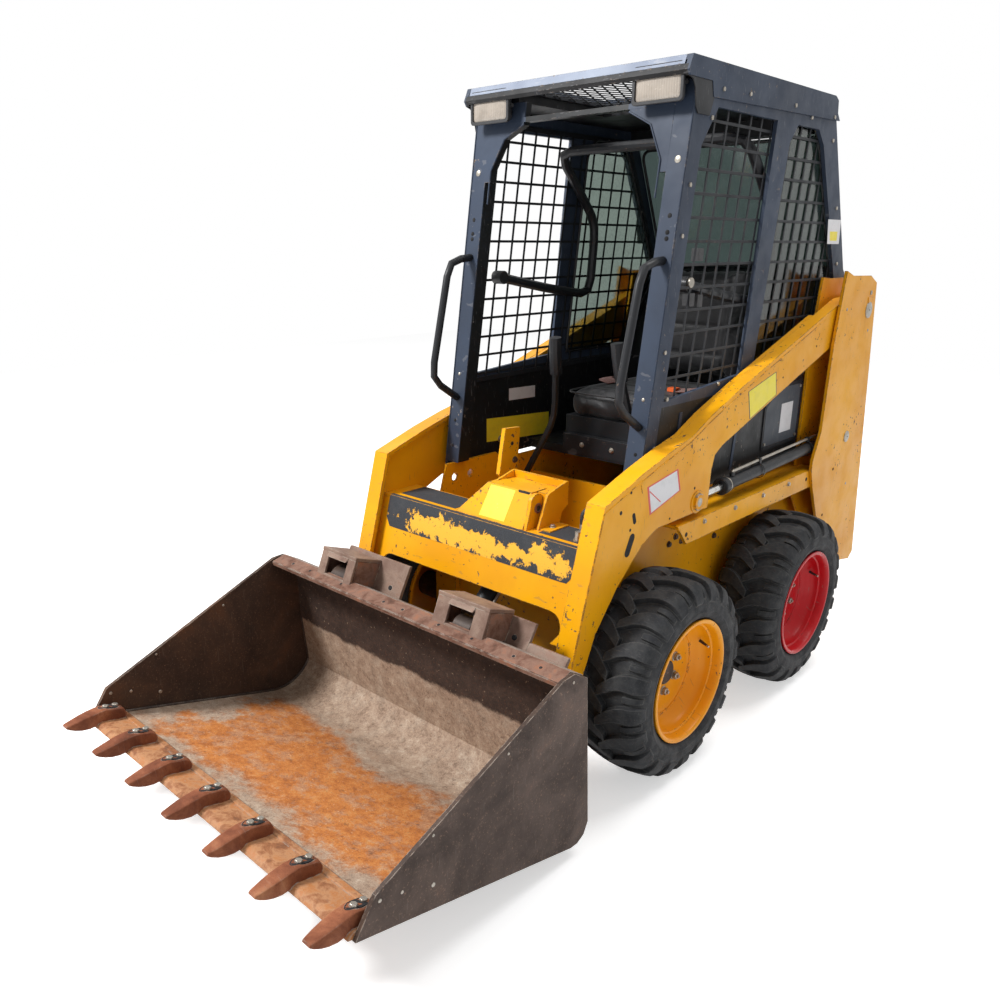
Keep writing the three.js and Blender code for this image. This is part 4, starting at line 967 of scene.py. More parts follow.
for i in range(TEETH):
    x = -first + i * 2 * first / (TEETH - 1)
    lean = rng.uniform(-1, 1)
    rings = []
    for u, w0, w1, half in NOSE:
        low = w0 - 6 if u < 660 else w0
        right = [(1, low), (1, low + (w1 - low) * 0.62), (0.86, low + (w1 - low) * 0.9), (0.5, w1)]
        rings.append([bk(x - half, u, low)] + [bk(x + half * share, u, w) for share, w in right]
                     + [bk(x - half * share, u, w) for share, w in right[:0:-1]])
    teeth.use(RUST_STEEL).loft(rings, smooth=False)
    # the pocket's shade is painted: a thin dark skin that follows the tooth's top
    oval = [(POCKET + 31 * math.cos(t), 13.5 * math.sin(t)) for t in turns(20)]
    teeth.use(PAINTED_SHADE).loft([[bk(x + dx + lean, u, tooth_top(u) - 3) for u, dx in oval],
                              [bk(x + dx + lean, u, tooth_top(u) + 0.7) for u, dx in oval],
                              [bk(x + dx * 0.9 + lean, POCKET + (u - POCKET) * 0.9, tooth_top(u) + 0.75)
                               for u, dx in oval]], smooth=False)
    for u, dx in ((619, -2), (646, 2)):
        teeth.use(ZINC).bolt(bk(x + dx + lean, u, tooth_top(u) - 0.6), UPRIGHT, 7.5, 5.5, washer=False)
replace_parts(teeth.make(bevel=2.0, segments=2, angle=40), "cutting_edge")


# ------------------------------------------------------------------ cab
LAMP_X, LAMP_Z = 278, 1755
# the grille's level bars and leaning rods, the roof mesh, and the shortest stretch worth a bar
BAR_PITCH, ROD_PITCH, MESH_PITCH, SHORTEST_BAR = 57, 62, 34, 12
# the cab's outer side, the lower panel's frame on it, and the inner face of its side wall
CAB_SIDE, PANEL_SIDE, INNER_WALL = 364, 367.6, 352


def clip(outline, point, way):
    """Where a line through point along way enters and leaves a convex outline."""
    low, high = -1e9, 1e9
    n = len(outline)
    for (ax, ay), (bx, by) in zip(outline, outline[1:] + outline[:1]):
        nx, ny = by - ay, ax - bx
        facing = nx * way[0] + ny * way[1]
        gap = nx * (ax - point[0]) + ny * (ay - point[1])
        if abs(facing) < 1e-9:
            if gap < 0:
                return None
            continue
        t = gap / facing
        if facing > 0:
            high = min(high, t)
        else:
            low = max(low, t)
    return (low, high) if high - low > SHORTEST_BAR else None


def side_sheet(piece, outline, x, thick, side):
    """A flat sheet in a side plane, its outer face at x."""
    low, high = sorted((side * x, side * (x - thick)))
    return piece.prism(outline, low, high)


def strip(piece, a, b, width, x, thick, side):
    """A flat bar between two (y, z) points in a side plane."""
    side_sheet(piece, bar_outline(a, b, width), x, thick, side)


GRILLE = [(post_face(980) + 54, 980), (556, 994), (762, 1264), (762, 1310), (546, 1726),
          (post_face(1726) + 54, 1726)]


def grille(piece, side):
    piece.use(BAR_BLACK)
    for i in range(14):
        z = 999 + i * BAR_PITCH
        cut = clip(GRILLE, (0, z), (1, 0))
        if cut:
            strip(piece, (cut[0], z), (cut[1], z), 7.5, 351.6, 2.3, side)
    for i in range(-5, 16):
        y, z = -13 + i * ROD_PITCH, 1370
        cut = clip(GRILLE, (y, z), (0.15, 1))
        if cut:
            strip(piece, (y + 0.15 * cut[0], z + cut[0]), (y + 0.15 * cut[1], z + cut[1]), 8.5, 349.4, 2.5,
                  side)
    for a, b in zip(GRILLE, GRILLE[1:] + GRILLE[:1]):
        strip(piece, a, b, 15, 351.7, 4.9, side)


for obj, (word, side) in zip(pair("grille_bars", "black_parts", "machine", grille, bevel=0.6, segments=1),
                             SIDES):
    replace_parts(obj, f"{word}_side_grille")

PANE = [(216, 1032), (566, 1032), (752, 1278), (546, 1676), (500, 1722), (348, 1722), (304, 1672)]


def rear_pane(piece, side):
    side_sheet(piece.use(GREEN_GLASS), PANE, 345.6, 2.2, side)


def pane_seal(piece, side):
    piece.use(MOULDED).tube(on_side(side, 344.6, PANE + PANE[:2]), 4.2, 8, bend=22)
    for y, z in ((244, 1240), (289, 1560), (420, 1722), (640, 1500), (640, 1128), (400, 1032)):
        piece.use(ZINC).button((side * 345.8, y, z), (-side, 0, 0), 6, 2.5, 14, 0, (4, 3))


pair("rear_side_pane", "tinted_glass", "machine", rear_pane)
pair("pane_seal", "black_parts", "machine", pane_seal, smooth_all=True)

REAR_SLOPE = (806 - 590) / (1300 - 1764)


def glass_y(z):
    return 596 + (z - 1764) * REAR_SLOPE


frame_seal = Piece("rear_window_seal", "machine", "black_parts").use(MOULDED)
corners = [(x, glass_y(z) + 1, z)
           for x, z in ((-344, 1318), (344, 1318), (344, 1706), (-344, 1706), (-344, 1318), (344, 1318))]
frame_seal.tube(corners, 5.5, 8, bend=40)
frame_seal.make(smooth_all=True)


def rounded_plan(x0, y0, x1, y1, radius, steps=6):
    """A rectangle in a plane with rounded corners."""
    points = []
    for cx, cy, start in ((x1 - radius, y1 - radius, 0), (x0 + radius, y1 - radius, 90),
                          (x0 + radius, y0 + radius, 180), (x1 - radius, y0 + radius, 270)):
        points += arc2((cx, cy), radius, start, start + 90, steps)
    return points


def rounded_rect(x, z, half_x, half_z, radius, y):
    """An upright rounded rectangle about (x, z), in the plane at y."""
    return [Vector((a, y, b))
            for a, b in rounded_plan(x - half_x, z - half_z, x + half_x, z + half_z, radius, 5)]


def work_light(piece, side):
    """A square work lamp: tapered moulded shell, bezel, and a pivot stub on each side."""
    x, z = side * LAMP_X, LAMP_Z
    shell = [(-218.4, 50, 26, 8), (-226, 62, 36, 9), (-244, 72, 42.5, 10), (-252.6, 73, 43, 10),
             (-253.8, 71.5, 41.5, 9), (-253.8, 65, 35, 7), (-248, 64, 34, 7)]
    piece.use(MOULDED).loft([rounded_rect(x, z, a, b, r, y) for y, a, b, r in shell])
    for dx in (-66, 66):
        piece.use(MOULDED).rod((x + dx, -236, z), (x + dx * 1.1, -236, z), 6, 12)


def lamp_glass(piece, side):
    x, z = side * LAMP_X, LAMP_Z
    bulge = [(-248.8, 64.4, 34.4, 7), (-251.2, 58, 29, 6), (-252.4, 44, 19, 5), (-252.9, 24, 9, 3)]
    piece.use(LENS).loft([rounded_rect(x, z, a, b, r, y) for y, a, b, r in bulge])


for obj, (word, side) in zip(pair("lamp_shell", "black_parts", "machine", work_light, smooth_all=True),
                             SIDES):
    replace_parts(obj, f"{word}_work_light")
pair("lamp_lens", "lamp_lens", "machine", lamp_glass, smooth_all=True)

roof_trim = Piece("roof_trim", "machine", "cab_paint")
# expanded metal over the skylight
roof_trim.use(BAR_BLACK)
WELL = [(-199.5, -221.5), (199.5, -221.5), (199.5, 189.5), (-199.5, 189.5)]
for slope in (2.06, -2.06):
    for i in range(-14, 15):
        cut = clip(WELL, (i * MESH_PITCH, -16), (1, slope))
        if cut:
            a, b = ((i * MESH_PITCH + t, -16 + slope * t) for t in cut)
            low = 1793.4 if slope > 0 else 1791
            roof_trim.prism(bar_outline(a, b, 4.8), low, low + 2.6, "z")
for a, b in (((-200, -222), (200, -217)), ((-200, 185), (200, 190)), ((-200, -217), (-194, 185)),
             ((194, -217), (200, 185))):
    roof_trim.box((a[0], a[1], 1788), (b[0], b[1], 1799))
# sun-bleached sheet rolled over the roof's front edge, paler as faded paint and as a painted highlight on its
# top strip
roof_trim.use(BLEACHED_AND_LIT)
roof_trim.prism([(-256.9, 1789), (-247.2, 1809.6), (-236, 1809.95), (-236, 1808.5), (-245, 1808.2),
                 (-254.4, 1789)], -352, 352)
for side in (1, -1):
    # the dark wing plates outside the lamps and the bolts along the roof's sides
    roof_trim.use(BLACK)
    wing = [(-258, 1764), (-238, 1758), (-226, 1742), (-216, 1700), (-206, 1688), (-150, 1688), (-120, 1764)]
    side_sheet(roof_trim, wing, PANEL_SIDE, 3.4, side)
    bolt_row(roof_trim, side, 369, ((43, 1756), (311, 1757), (581, 1752), (-95, 1752)), 5, 3.6, washer=False)
roof_trim.make(bevel=0.5, segments=1)

cab_bolts = Piece("cab_bolts", "machine", "black_parts")
for side in (1, -1):
    bolt_row(cab_bolts, side, CAB_SIDE,
             ((-134, 1685), (-214, 1529), (-277, 1128), (18, 1016), (-234, 1410), (-300, 880), (691, 1500),
              (600, 1690), (433, 1738), (-252, 1005), (750, 1330)), 5.2, 4, washer=False)
    # zinc bolt heads, and dark discs of painted shade in empty holes on the posts
    for z, size in ((1587, 9), (1458, 6), (1419, 6), (1404, 6), (1010, 5), (868, 5), (790, 5)):
        x = side * 338
        cab_bolts.use(ZINC if z in (1587, 1010) else PAINTED_SHADE)
        cab_bolts.button((x, post_face(z), z), (0, -1, POST_SLOPE), size, 0.8, 14, 4, (2.2, size * 0.5))
    # bent stiffening lips on the gussets, seen as a pale line under the lamps
    cab_bolts.use(CAB)
    lip = [(288, 1500), (288, 1590), (246, 1672), (176, 1707)]
    path = [Vector((side * x, post_face(z) - 1.2, z)) for x, z in lip]
    cab_bolts.tube(path, 2.6, 8)
    # folded seam along the post's outer corner
    cab_bolts.tube([Vector((side * 361.5, post_face(z) - 0.4, z)) for z in (760, 1250, 1740)], 2.2, 8)
cab_bolts.make(bevel=0.4, segments=1)


def lower_panel(piece, side):
    """The framed grey access panel behind the arm, its blank label, and a folded rib."""
    piece.use(FADED_DARK)
    side_sheet(piece, [(340, 774), (584, 774), (584, 958), (420, 958), (340, 900)], 366, 2, side)
    piece.use(BAR_BLACK)
    loop = [(336, 770), (588, 770), (588, 962), (418, 962), (336, 904)]
    for a, b in zip(loop, loop[1:] + loop[:1]):
        strip(piece, a, b, 12, PANEL_SIDE, 3.6, side)
    bolt_row(piece, side, PANEL_SIDE, ((350, 784), (574, 784), (574, 948), (426, 948)), 4.5, 3, washer=False)
    for material, outline, x, thick in (
            (WHITE_DECAL, [(452, 806), (536, 806), (536, 902), (452, 902)], 366.5, 0.5),
            (WHITE_DECAL, [(655, 1392), (748, 1392), (742, 1466), (640, 1466)], 364.5, 0.5),
            (YELLOW_DECAL, [(672, 1402), (726, 1402), (724, 1430), (664, 1430)], 364.8, 0.4)):
        side_sheet(piece.use(material), outline, x, thick, side)
    piece.use(CAB)
    for y in (-210, -40, 130):
        side_sheet(piece, [(y, 742), (y + 14, 742), (y + 42, 960), (y + 28, 960)], 366.4, 2.4, side)


pair("cab_side_panel", "cab_paint", "machine", lower_panel, bevel=0.8, segments=1)

inner_fittings = Piece("inner_side_fittings", "machine", "black_parts")
# blank labels on the inner side wall across from the seat
for material, outline in ((WHITE_DECAL, [(-77, 894), (58, 890), (58, 930), (-77, 934)]),
                          (YELLOW_DECAL, [(-186, 769), (136, 751), (136, 828), (-186, 847)])):
    side_sheet(inner_fittings.use(material), outline, 351.9, 0.5, -1)
inner_fittings.use(ZINC).bolt((-INNER_WALL, -120, 770), (1, 0, 0), 8, 6)
for y, z in ((-112, 1365), (-141, 1253), (-99, 1248)):
    inner_fittings.use(MOULDED).box((330, y - 13, z - 16), (351.8, y + 13, z + 16))
for side in (1, -1):
    # the seat bar's pivot knobs
    inner_fittings.use(ZINC).lathe([(-1, 0.05), (-1, 13), (9, 13), (12, 10), (12, 6), (20, 6), (20, 0.05)],
                                   (side * INNER_WALL, -150, 1296), (-side, 0, 0), 20)
inner_fittings.make(bevel=1.2, segments=2)


# ------------------------------------------------------------------ lift arms
def patch(piece, material, corners, lift=0.6):
    """A thin sticker standing lift millimetres off its corners, which run anticlockwise from outside."""
    corners = [Vector(c) for c in corners]
    normal = (corners[1] - corners[0]).cross(corners[2] - corners[0]).normalized()
    piece.use(material).loft([[c - normal * 0.4 for c in corners], [c + normal * lift for c in corners]],
                             smooth=False)


def side_patch(piece, material, outline, x, side, lift=0.6):
    points = on_side(side, x, outline)
    patch(piece, material, points if (area_of(outline) > 0) == (side > 0) else points[::-1], lift)


def shrunk(outline, share):
    """An outline drawn in towards its middle."""
    middle = Vector((sum(p[0] for p in outline) / len(outline), sum(p[1] for p in outline) / len(outline)))
    return [tuple(middle + (Vector(p) - middle) * share) for p in outline]


# the outer faces that bolts and labels stand on: arm, tower, fender beam and chassis
ARM_FACE, TOWER_FACE, BEAM_FACE, CHASSIS_FACE = 428, 443.5, 433.5, 330


def arm_details(piece, side):
    x = ARM_FACE
    # dark discs of painted shade in the arm's holes
    disc_row(piece, PAINTED_SHADE, side, x,
             ((-491, 812, 4.2), (-531, 768, 5.5), (-486, 713, 4.2), (-347, 859, 2.6), (-180, 760, 4),
              (-300, 700, 3.4), (300, 1010, 3), (520, 1085, 3.4)))
    # the slot and hole in the arm's side, drawn as dark sheets of painted shade
    for a, b, r in (((-474, 749), (-468, 731), 6.5), ((-476, 690), (-494, 654), 11.5)):
        ends = [Vector(a), Vector(b)]
        run = (ends[1] - ends[0]).normalized()
        turn = math.degrees(math.atan2(run.y, run.x))
        oval = arc2(ends[1], r, turn - 90, turn + 90, 8) + arc2(ends[0], r, turn + 90, turn + 270, 8)
        side_sheet(piece, oval, x + 0.7, 2.4, side)
    # weld beads along the folded strip, and a short upright one
    piece.use(YELLOW)
    seam = [(-708, 405), (-600, 781), (-487, 819), (-352, 858), (-222, 893), (-120, 936), (60, 1000),
            (560, 1164)]
    piece.tube(on_side(side, x + 0.2, seam), 1.9, 6)
    piece.tube(on_side(side, x + 0.2, ((-449, 823), (-441, 800))), 1.6, 6)
    # lift eye: steel boss with two flats
    eye = Vector((side * x, -161, 717))
    piece.use(YELLOW).button(eye, (side, 0, 0), 33, 2.2, 32, 0.5, (3.0, 31))
    flats = [eye + Vector((0, math.cos(t) * (24 if abs(math.cos(t)) < 0.7 else 20), math.sin(t) * 24))
             for t in turns(28)]
    piece.use(ZINC).loft([[p + Vector((side * d, 0, 0)) for p in flats] for d in (-1, 9.2)], smooth=False)
    disc(piece, ZINC, eye + Vector((side * 9.1, 0, 0)), (side, 0, 0), 13, 0.7)
    # bucket hinge: pin head, keeper plate and its bolt
    hinge = Vector((side * x, -750, 130))
    piece.use(ZINC).button(hinge, (side, 0, 0), 24, 4.2, 32, 1, (6, 21))
    side_sheet(piece.use(YELLOW), [(-757, 150), (-743, 150), (-738, 196), (-762, 196)], x + 4, 4.5, side)
    piece.use(ZINC).bolt((side * (x + 4), -750, 184), (side, 0, 0), 7, 4)
    # blank labels, the one with a crossed-out field only on the side seen in the photo
    if side > 0:
        edge = [(-420, 811), (-400, 732), (-254, 769), (-275, 833)]
        side_patch(piece, RED_DECAL, edge, x, side, 0.35)
        side_patch(piece, WHITE_DECAL, shrunk(edge, 0.9), x, side, 0.6)
        a, b, off = Vector((-408, 798)), Vector((-352, 758)), Vector((0.58, 0.82)) * 1.6
        side_patch(piece, RED_DECAL, [tuple(p) for p in (a - off, b - off, b + off, a + off)], x, side, 0.8)
    label = [(81, 993), (106, 909), (267, 962), (249, 1033)]
    side_patch(piece, BLACK_DECAL, label, x, side, 0.35)
    side_patch(piece, YELLOW_DECAL, shrunk(label, 0.955), x, side, 0.6)


pair("arm_details", "yellow_paint", "lift_arms", arm_details, bevel=0.5, segments=1)


def tower_details(piece, side):
    """Pin heads, keeper plates and bolts on the towers, and the bolts of the fender beam."""
    for y, z, r in ((880, 1179, 27), (840, 745, 20)):
        pin = Vector((side * TOWER_FACE, y, z))
        piece.use(ZINC).button(pin, (side, 0, 0), r, 2.6, 32, 1, (4.3, r - 4))
        # a dark disc of painted shade in the middle of each pin head
        disc(piece, PAINTED_SHADE, pin + Vector((side * 4.2, 0, 0)), (side, 0, 0), 3.4, 0.2)
    side_sheet(piece.use(YELLOW), [(862, 1222), (900, 1222), (892, 1196), (868, 1196)], 446, 3, side)
    piece.use(ZINC).bolt((side * TOWER_FACE, 881, 1236), (side, 0, 0), 7, 3, washer=False)
    # zinc bolt heads, and two dark discs of painted shade in empty holes
    for y, z in ((690, 1190), (900, 1110), (760, 640), (900, 560), (716, 480), (1000, 700)):
        disc(piece, PAINTED_SHADE if z in (640, 480) else ZINC, (side * TOWER_FACE, y, z), (side, 0, 0), 5, 1.4)
    # dark discs of painted shade in the fender beam's holes
    disc_row(piece, PAINTED_SHADE, side, BEAM_FACE - 0.1, ((-215, 635, 7), (560, 640, 7)))
    bolt_row(piece, side, BEAM_FACE, [(y, 652) for y in (-120, 60, 240, 420)], 5.5, 4)
    for y, z in ((-130, 560), (-95, 575), (-60, 553), (140, 520), (330, 480), (360, 540)):
        piece.use(DARK_STEEL).bolt((side * CHASSIS_FACE, y, z), (side, 0, 0), 7, 6)
    # dark discs of painted shade in the chassis's holes
    disc_row(piece, PAINTED_SHADE, side, CHASSIS_FACE, ((-180, 470, 8), (0, 360, 8), (90, 590, 8)))


pair("tower_details", "yellow_paint", "machine", tower_details, bevel=0.5, segments=1)


# ------------------------------------------------------------------ cross member and guard
def panel_y(z):
    return -566 - (798 - z) * 109 / 377


front = Piece("step_coating", "lift_arms", "black_parts").use(GRIP_TAPE)
HALF_STRIPE, CORNER, COLUMNS = 360, 26, 36
rings = []
for i in range(COLUMNS + 1):
    x = -HALF_STRIPE + 2 * HALF_STRIPE * i / COLUMNS
    end = HALF_STRIPE - abs(x)
    drop = 0 if end > CORNER else CORNER - math.sqrt(max(CORNER ** 2 - (CORNER - end) ** 2, 0))
    z = 585 + drop
    skin = [(panel_y(z), z), (panel_y(640), 640), (panel_y(670), 670), (panel_y(674) + 1.5, 674.6),
            (panel_y(675) + 5, 675.2), (panel_y(675) + 14, 675.3)]
    rings.append([Vector((x, y - 0.9, zz + (0.6 if n > 2 else 0))) for n, (y, zz) in enumerate(skin)]
                 + [Vector((x, y + 0.7, zz - 0.7)) for y, zz in skin[::-1]])
front.loft(rings, smooth=False)
for low, high in ((-345, -112), (200, 345)):
    front.box((low, -572, 674.4), (high, -476, 675.9))
front.make(smooth_all=True, angle=40)

guard = Piece("guard_details", "lift_arms", "yellow_paint")


def on_guard(x, t):
    """A point on the guard's sloping front: t is 0 at its foot and 1 at its top."""
    return Vector((x, -588 + 46 * t, 675.5 + 92.5 * t))


patch(guard, YELLOW_DECAL, [on_guard(-6, 0.08), on_guard(88, 0.08), on_guard(94, 0.95), on_guard(4, 0.95)],
      0.5)
# a worn notch at the top right, drawn as a dark patch of painted shade, the pin in its lug, and its keeper
# bolt
patch(guard, PAINTED_SHADE, [on_guard(106, 0.93), on_guard(143, 0.93), on_guard(147, 0.995), on_guard(102, 0.995)],
      0.4)
pin = Vector((168, -538, 728))
guard.use(DARK_STEEL).button(pin, (1, 0, 0), 7.9, 3.2, 20, 6)
guard.use(RUST_STEEL).lathe([(0.2, 9), (0.2, 14), (2.4, 14), (3.2, 12.6), (3.2, 9)], pin, (1, 0, 0), 24)
# folded foot flange along the right-hand side
guard.use(YELLOW).box((190, -556, 675.2), (226, -474, 679))
for x in (-80, 205):
    guard.use(ZINC).bolt((x, -520 if x > 0 else -480, 679 if x > 0 else 675.4), (0, 0, 1), 6.5, 5)
guard.make(bevel=1.0, segments=2)

# hydraulic lines: short steel elbows on the step, and one hose looping over to the left arm
lines = Piece("hose_fittings", "lift_arms", "dark_steel")
FITTINGS = ((318, -556, 676), (290, -500, 676))
for x, y, z in FITTINGS:
    lines.use(ZINC).lathe([(-1, 0.05), (-1, 13), (5, 13), (5, 9), (14, 9), (14, 0.05)], (x, y, z), (0, 0, 1),
                          6)
    lines.button((x, y, z), (0, 0, 1), 8.2, 25, 16, -13)
for y, z in ((-470, 735), (-425, 742)):
    lines.use(ZINC).lathe([(-1, 0.05), (-1, 12), (9, 12), (9, 8), (24, 8), (24, 0.05)], (388, y, z),
                          (-1, 0, 0), 6)
lines.make(bevel=0.8, segments=1)


def hose(name, body, points, radius, count=30):
    """A hose from fitting to fitting on one smooth curve."""
    points = [Vector(p) for p in points]
    curve = []
    for i in range(count + 1):
        t = i / count * (len(points) - 1)
        k = min(int(t), len(points) - 2)
        f = t - k
        p0, p1, p2, p3 = (points[max(k - 1, 0)], points[k], points[k + 1],
                          points[min(k + 2, len(points) - 1)])
        second, third = 2 * p0 - 5 * p1 + 4 * p2 - p3, 3 * p1 - p0 - 3 * p2 + p3
        curve.append(0.5 * (2 * p1 + (p2 - p0) * f + second * f ** 2 + third * f ** 3))
    piece = Piece(name, body, "black_parts").use(HOSE).tube(curve, radius, 14)
    obj = piece.make(smooth_all=True)


hose("left_arm_hose", "lift_arms",
     [(366, -470, 735), (344, -472, 739), (306, -488, 744), (290, -499, 728), (290, -500, 700)], 7)

frame_bits = Piece("frame_details", "machine", "yellow_paint")
# dark discs of painted shade in holes in the frame
for side in (1, -1):
    disc_row(frame_bits, PAINTED_SHADE, side, CHASSIS_FACE, ((-400, 700, 6), (-250, 700, 5)))
disc(frame_bits, PAINTED_SHADE, (-67.9, -377, 840), (1, 0, 0), 5.5, 0.4)
frame_bits.use(DARK_STEEL).bolt((-68, -366, 790), (1, 0, 0), 7, 5)
frame_bits.make(bevel=0.5, segments=1)


# ------------------------------------------------------------------ hydraulic cylinders
BASE_PIN, LIFT_EYE = Vector((0, 840, 745)), Vector((0, -161, 717))
BARREL_RUN = (LIFT_EYE - BASE_PIN).normalized()
ACROSS_RUN = Vector((0, -BARREL_RUN.z, BARREL_RUN.y))
if ACROSS_RUN.z < 0:
    ACROSS_RUN = -ACROSS_RUN
# the barrels' radii, just clear of the CAD's, and the lift cylinders' distance from the middle
BARREL, TILT_BARREL, LIFT_X = 23.05, 27.05, 408


def barrel_details(piece, side):
    foot = BASE_PIN + Vector((side * LIFT_X, 0, 0))

    def spot(along, off):
        return foot + BARREL_RUN * along + ACROSS_RUN * off

    for d, half, radius, material in ((826, 9, 25.4, BLACK), (806, 3, 24.2, ZINC), (60, 5, 24.6, BLACK)):
        band(piece, material, spot(d, 0), BARREL_RUN, half, BARREL, radius)
    # port bosses and the steel pipe between them
    for d in (90, 770):
        piece.use(BLACK).rod(spot(d, 20), spot(d, 31), 7.5, 14)
    piece.use(ZINC).tube([spot(770, 29), spot(764, 33), spot(120, 33), spot(96, 29)], 4.6, 12, bend=10)
    for d in (250, 600):
        piece.use(BLACK).lathe([(-4, BARREL), (-4, 24.6), (4, 24.6), (4, BARREL)], spot(d, 0), BARREL_RUN, 40)
        centre = spot(d, 33)
        piece.box(centre + Vector((-7, -6, -9)), centre + Vector((7, 6, 6)))


pair("barrel_details", "black_parts", "lift_barrel", barrel_details, bevel=0.6, segments=1)

TILT_FOOT, TILT_HEAD = Vector((30, -400, 640)), Vector((30, -750, 290))
TILT_RUN = (TILT_HEAD - TILT_FOOT).normalized()
barrel = Piece("tilt_barrel_details", "tilt_barrel", "black_parts")
for d, half, radius, material in ((383.9, 9, 29.2, BLACK), (372, 3, 28.4, ZINC), (70, 5, 28.6, BLACK)):
    band(barrel, material, TILT_FOOT + TILT_RUN * d, TILT_RUN, half, TILT_BARREL, radius)
pipe, boss = Vector((34, 0, 0)), (Vector((20, 0, 0)), Vector((39, 0, 0)))
barrel.use(ZINC).tube([TILT_FOOT + TILT_RUN * 350 + pipe, TILT_FOOT + TILT_RUN * 110 + pipe], 4.4, 12)
for d in (350, 110):
    barrel.use(BLACK).rod(TILT_FOOT + TILT_RUN * d + boss[0], TILT_FOOT + TILT_RUN * d + boss[1], 7, 14)
barrel.make(bevel=0.6, segments=1)


# ------------------------------------------------------------------ seat
SEAT_CORNER = 46
# sewn channels: half the middle panel's width, the cushion's rear border, and the runs across the middle
CUSHION_HALF, CUSHION_REAR, CUSHION_RUNS = 138, 402, (130, 220, 310)
BACKREST_HALF, BACKREST_RUNS = 132, (1035, 1130, 1225)


def swollen(name, low, high, voxel, cap, lean=0.0):
    """A stuffed pad: a rounded block, remeshed, blown up as cloth, and kept inside its CAD block."""
    start = Piece(name, "machine", None)
    (x0, y0, z0), (x1, y1, z1) = low, high
    rows = []
    for k in range(7):
        z = z0 + (z1 - z0) * k / 6
        pull = 10 * (abs(k - 3) / 3) ** 3
        shift = lean * (z - z0)
        rows.append([Vector((x, y + shift, z))
                     for x, y in rounded_plan(x0 + pull, y0 + pull, x1 - pull, y1 - pull, SEAT_CORNER)])
    start.use(VINYL).loft(rows)
    mesh = bpy.data.meshes.new(name)
    mesh.from_pydata([at(p) for p in start.verts], [], start.faces)
    mesh.materials.append(VINYL)
    obj = bpy.data.objects.new(name, mesh)
    bpy.context.scene.collection.objects.link(obj)
    mend = obj.modifiers.new("Remesh", "REMESH")
    mend.mode, mend.voxel_size = "VOXEL", voxel
    settle(obj)
    rest = [v.co.copy() for v in obj.data.vertices]
    cloth = obj.modifiers.new("Cloth", "CLOTH")
    cloth.settings.use_pressure, cloth.settings.uniform_pressure_force = True, 4.0
    cloth.settings.effector_weights.gravity = 0.0
    cloth.settings.quality = 4
    for step in range(1, 15):
        bpy.context.scene.frame_set(step)
    settle(obj)
    bpy.context.scene.frame_set(1)
    for v, home in zip(obj.data.vertices, rest):
        move = v.co - home
        if move.length > cap * MM:
            v.co = home + move.normalized() * cap * MM
    return obj


def settle(obj):
    """Applies an object's modifiers to its mesh."""
    shape = bpy.data.meshes.new_from_object(obj.evaluated_get(bpy.context.evaluated_depsgraph_get()))
    obj.modifiers.clear()
    obj.data = shape


def groove(distance, depth, width):
    """How deep a sewn channel is at a distance from its middle."""
    return depth * math.exp(-(distance / width) ** 2)


cushion = swollen("seat_cushion_pad", (-212, 52, 850), (212, 474, 928), 0.0075, 14)
backrest = swollen("seat_backrest_pad", (-202, 468, 954), (202, 556, 1310), 0.0075, 14, lean=0.06)
box_low, box_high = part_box("seat_cushion")
for v in cushion.data.vertices:
    x, y, z = v.co.x / MM, (v.co.y - MID_Y) / MM, v.co.z / MM
    if z > 895:
        inside = abs(x) < CUSHION_HALF
        v.co.z -= MM * max(groove(abs(x) - CUSHION_HALF, 6, 6), groove(y - CUSHION_REAR, 6, 6) * inside,
                           max(groove(y - c, 4.5, 6) for c in CUSHION_RUNS) * inside)
    # it lies flat on its base
    v.co.z = min(max(v.co.z, box_low[2] + 0.0005), box_high[2])
    v.co.x = min(max(v.co.x, box_low[0]), box_high[0])
    v.co.y = min(max(v.co.y, box_low[1]), box_high[1])
box_low, box_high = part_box("seat_backrest")
for v in backrest.data.vertices:
    x, y, z = v.co.x / MM, (v.co.y - MID_Y) / MM, v.co.z / MM
    if y < 505:
        inside = abs(x) < BACKREST_HALF
        v.co.y += MM * max(groove(abs(x) - BACKREST_HALF, 6, 6),
                           max(groove(z - c, 4.5, 6) for c in BACKREST_RUNS) * inside)
    for axis in range(3):
        v.co[axis] = min(max(v.co[axis], box_low[axis]), box_high[axis])
for obj, node, fill in ((cushion, "seat_cushion", 0.8), (backrest, "seat_backrest", 0.8)):
    obj.data.polygons.foreach_set("use_smooth", [True] * len(obj.data.polygons))
    more = obj.modifiers.new("Subdivision", "SUBSURF")
    more.levels = more.render_levels = 1
    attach(obj, "machine")
    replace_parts(obj, node)

# piping sewn round the seat's rim, and the shell behind the backrest
seat_trim = Piece("seat_trim", "machine", "seat_vinyl").use(VINYL)
loop = [Vector((x, y, 926)) for x, y in rounded_plan(-214, 50, 214, 476, SEAT_CORNER)]
seat_trim.tube(loop + loop[:2], 3.4, 8)
seat_trim.use(MOULDED).prism([(556, 960), (570, 960), (592, 1290), (578, 1290)], -190, 190)
for x in (-150, 150):
    seat_trim.use(BLACK).box((x - 12, 480, 846), (x + 12, 500, 975))
seat_trim.make(bevel=3, segments=3)

# seat base fittings, buckle, and belt webbing lying over the cushion's side
cab_bits = Piece("cab_floor_fittings", "machine", "black_parts")
cab_bits.use(BLACK).box((-200, 30, 730), (200, 58, 790))
for x in (-120, 0, 120):
    cab_bits.use(ZINC).bolt((x, 30, 760), (0, -1, 0), 6, 4)
for side in (1, -1):
    # pedals on short arms
    x = side * 190
    cab_bits.use(BLACK).tube([(x, 20, 470), (x, -60, 440), (x, -120, 395)], 8, 10, bend=30)
    cab_bits.box((x - 42, -190, 372), (x + 42, -95, 381), Matrix.Rotation(math.radians(-24), 3, "X"))
cab_bits.make(bevel=1.5, segments=2)

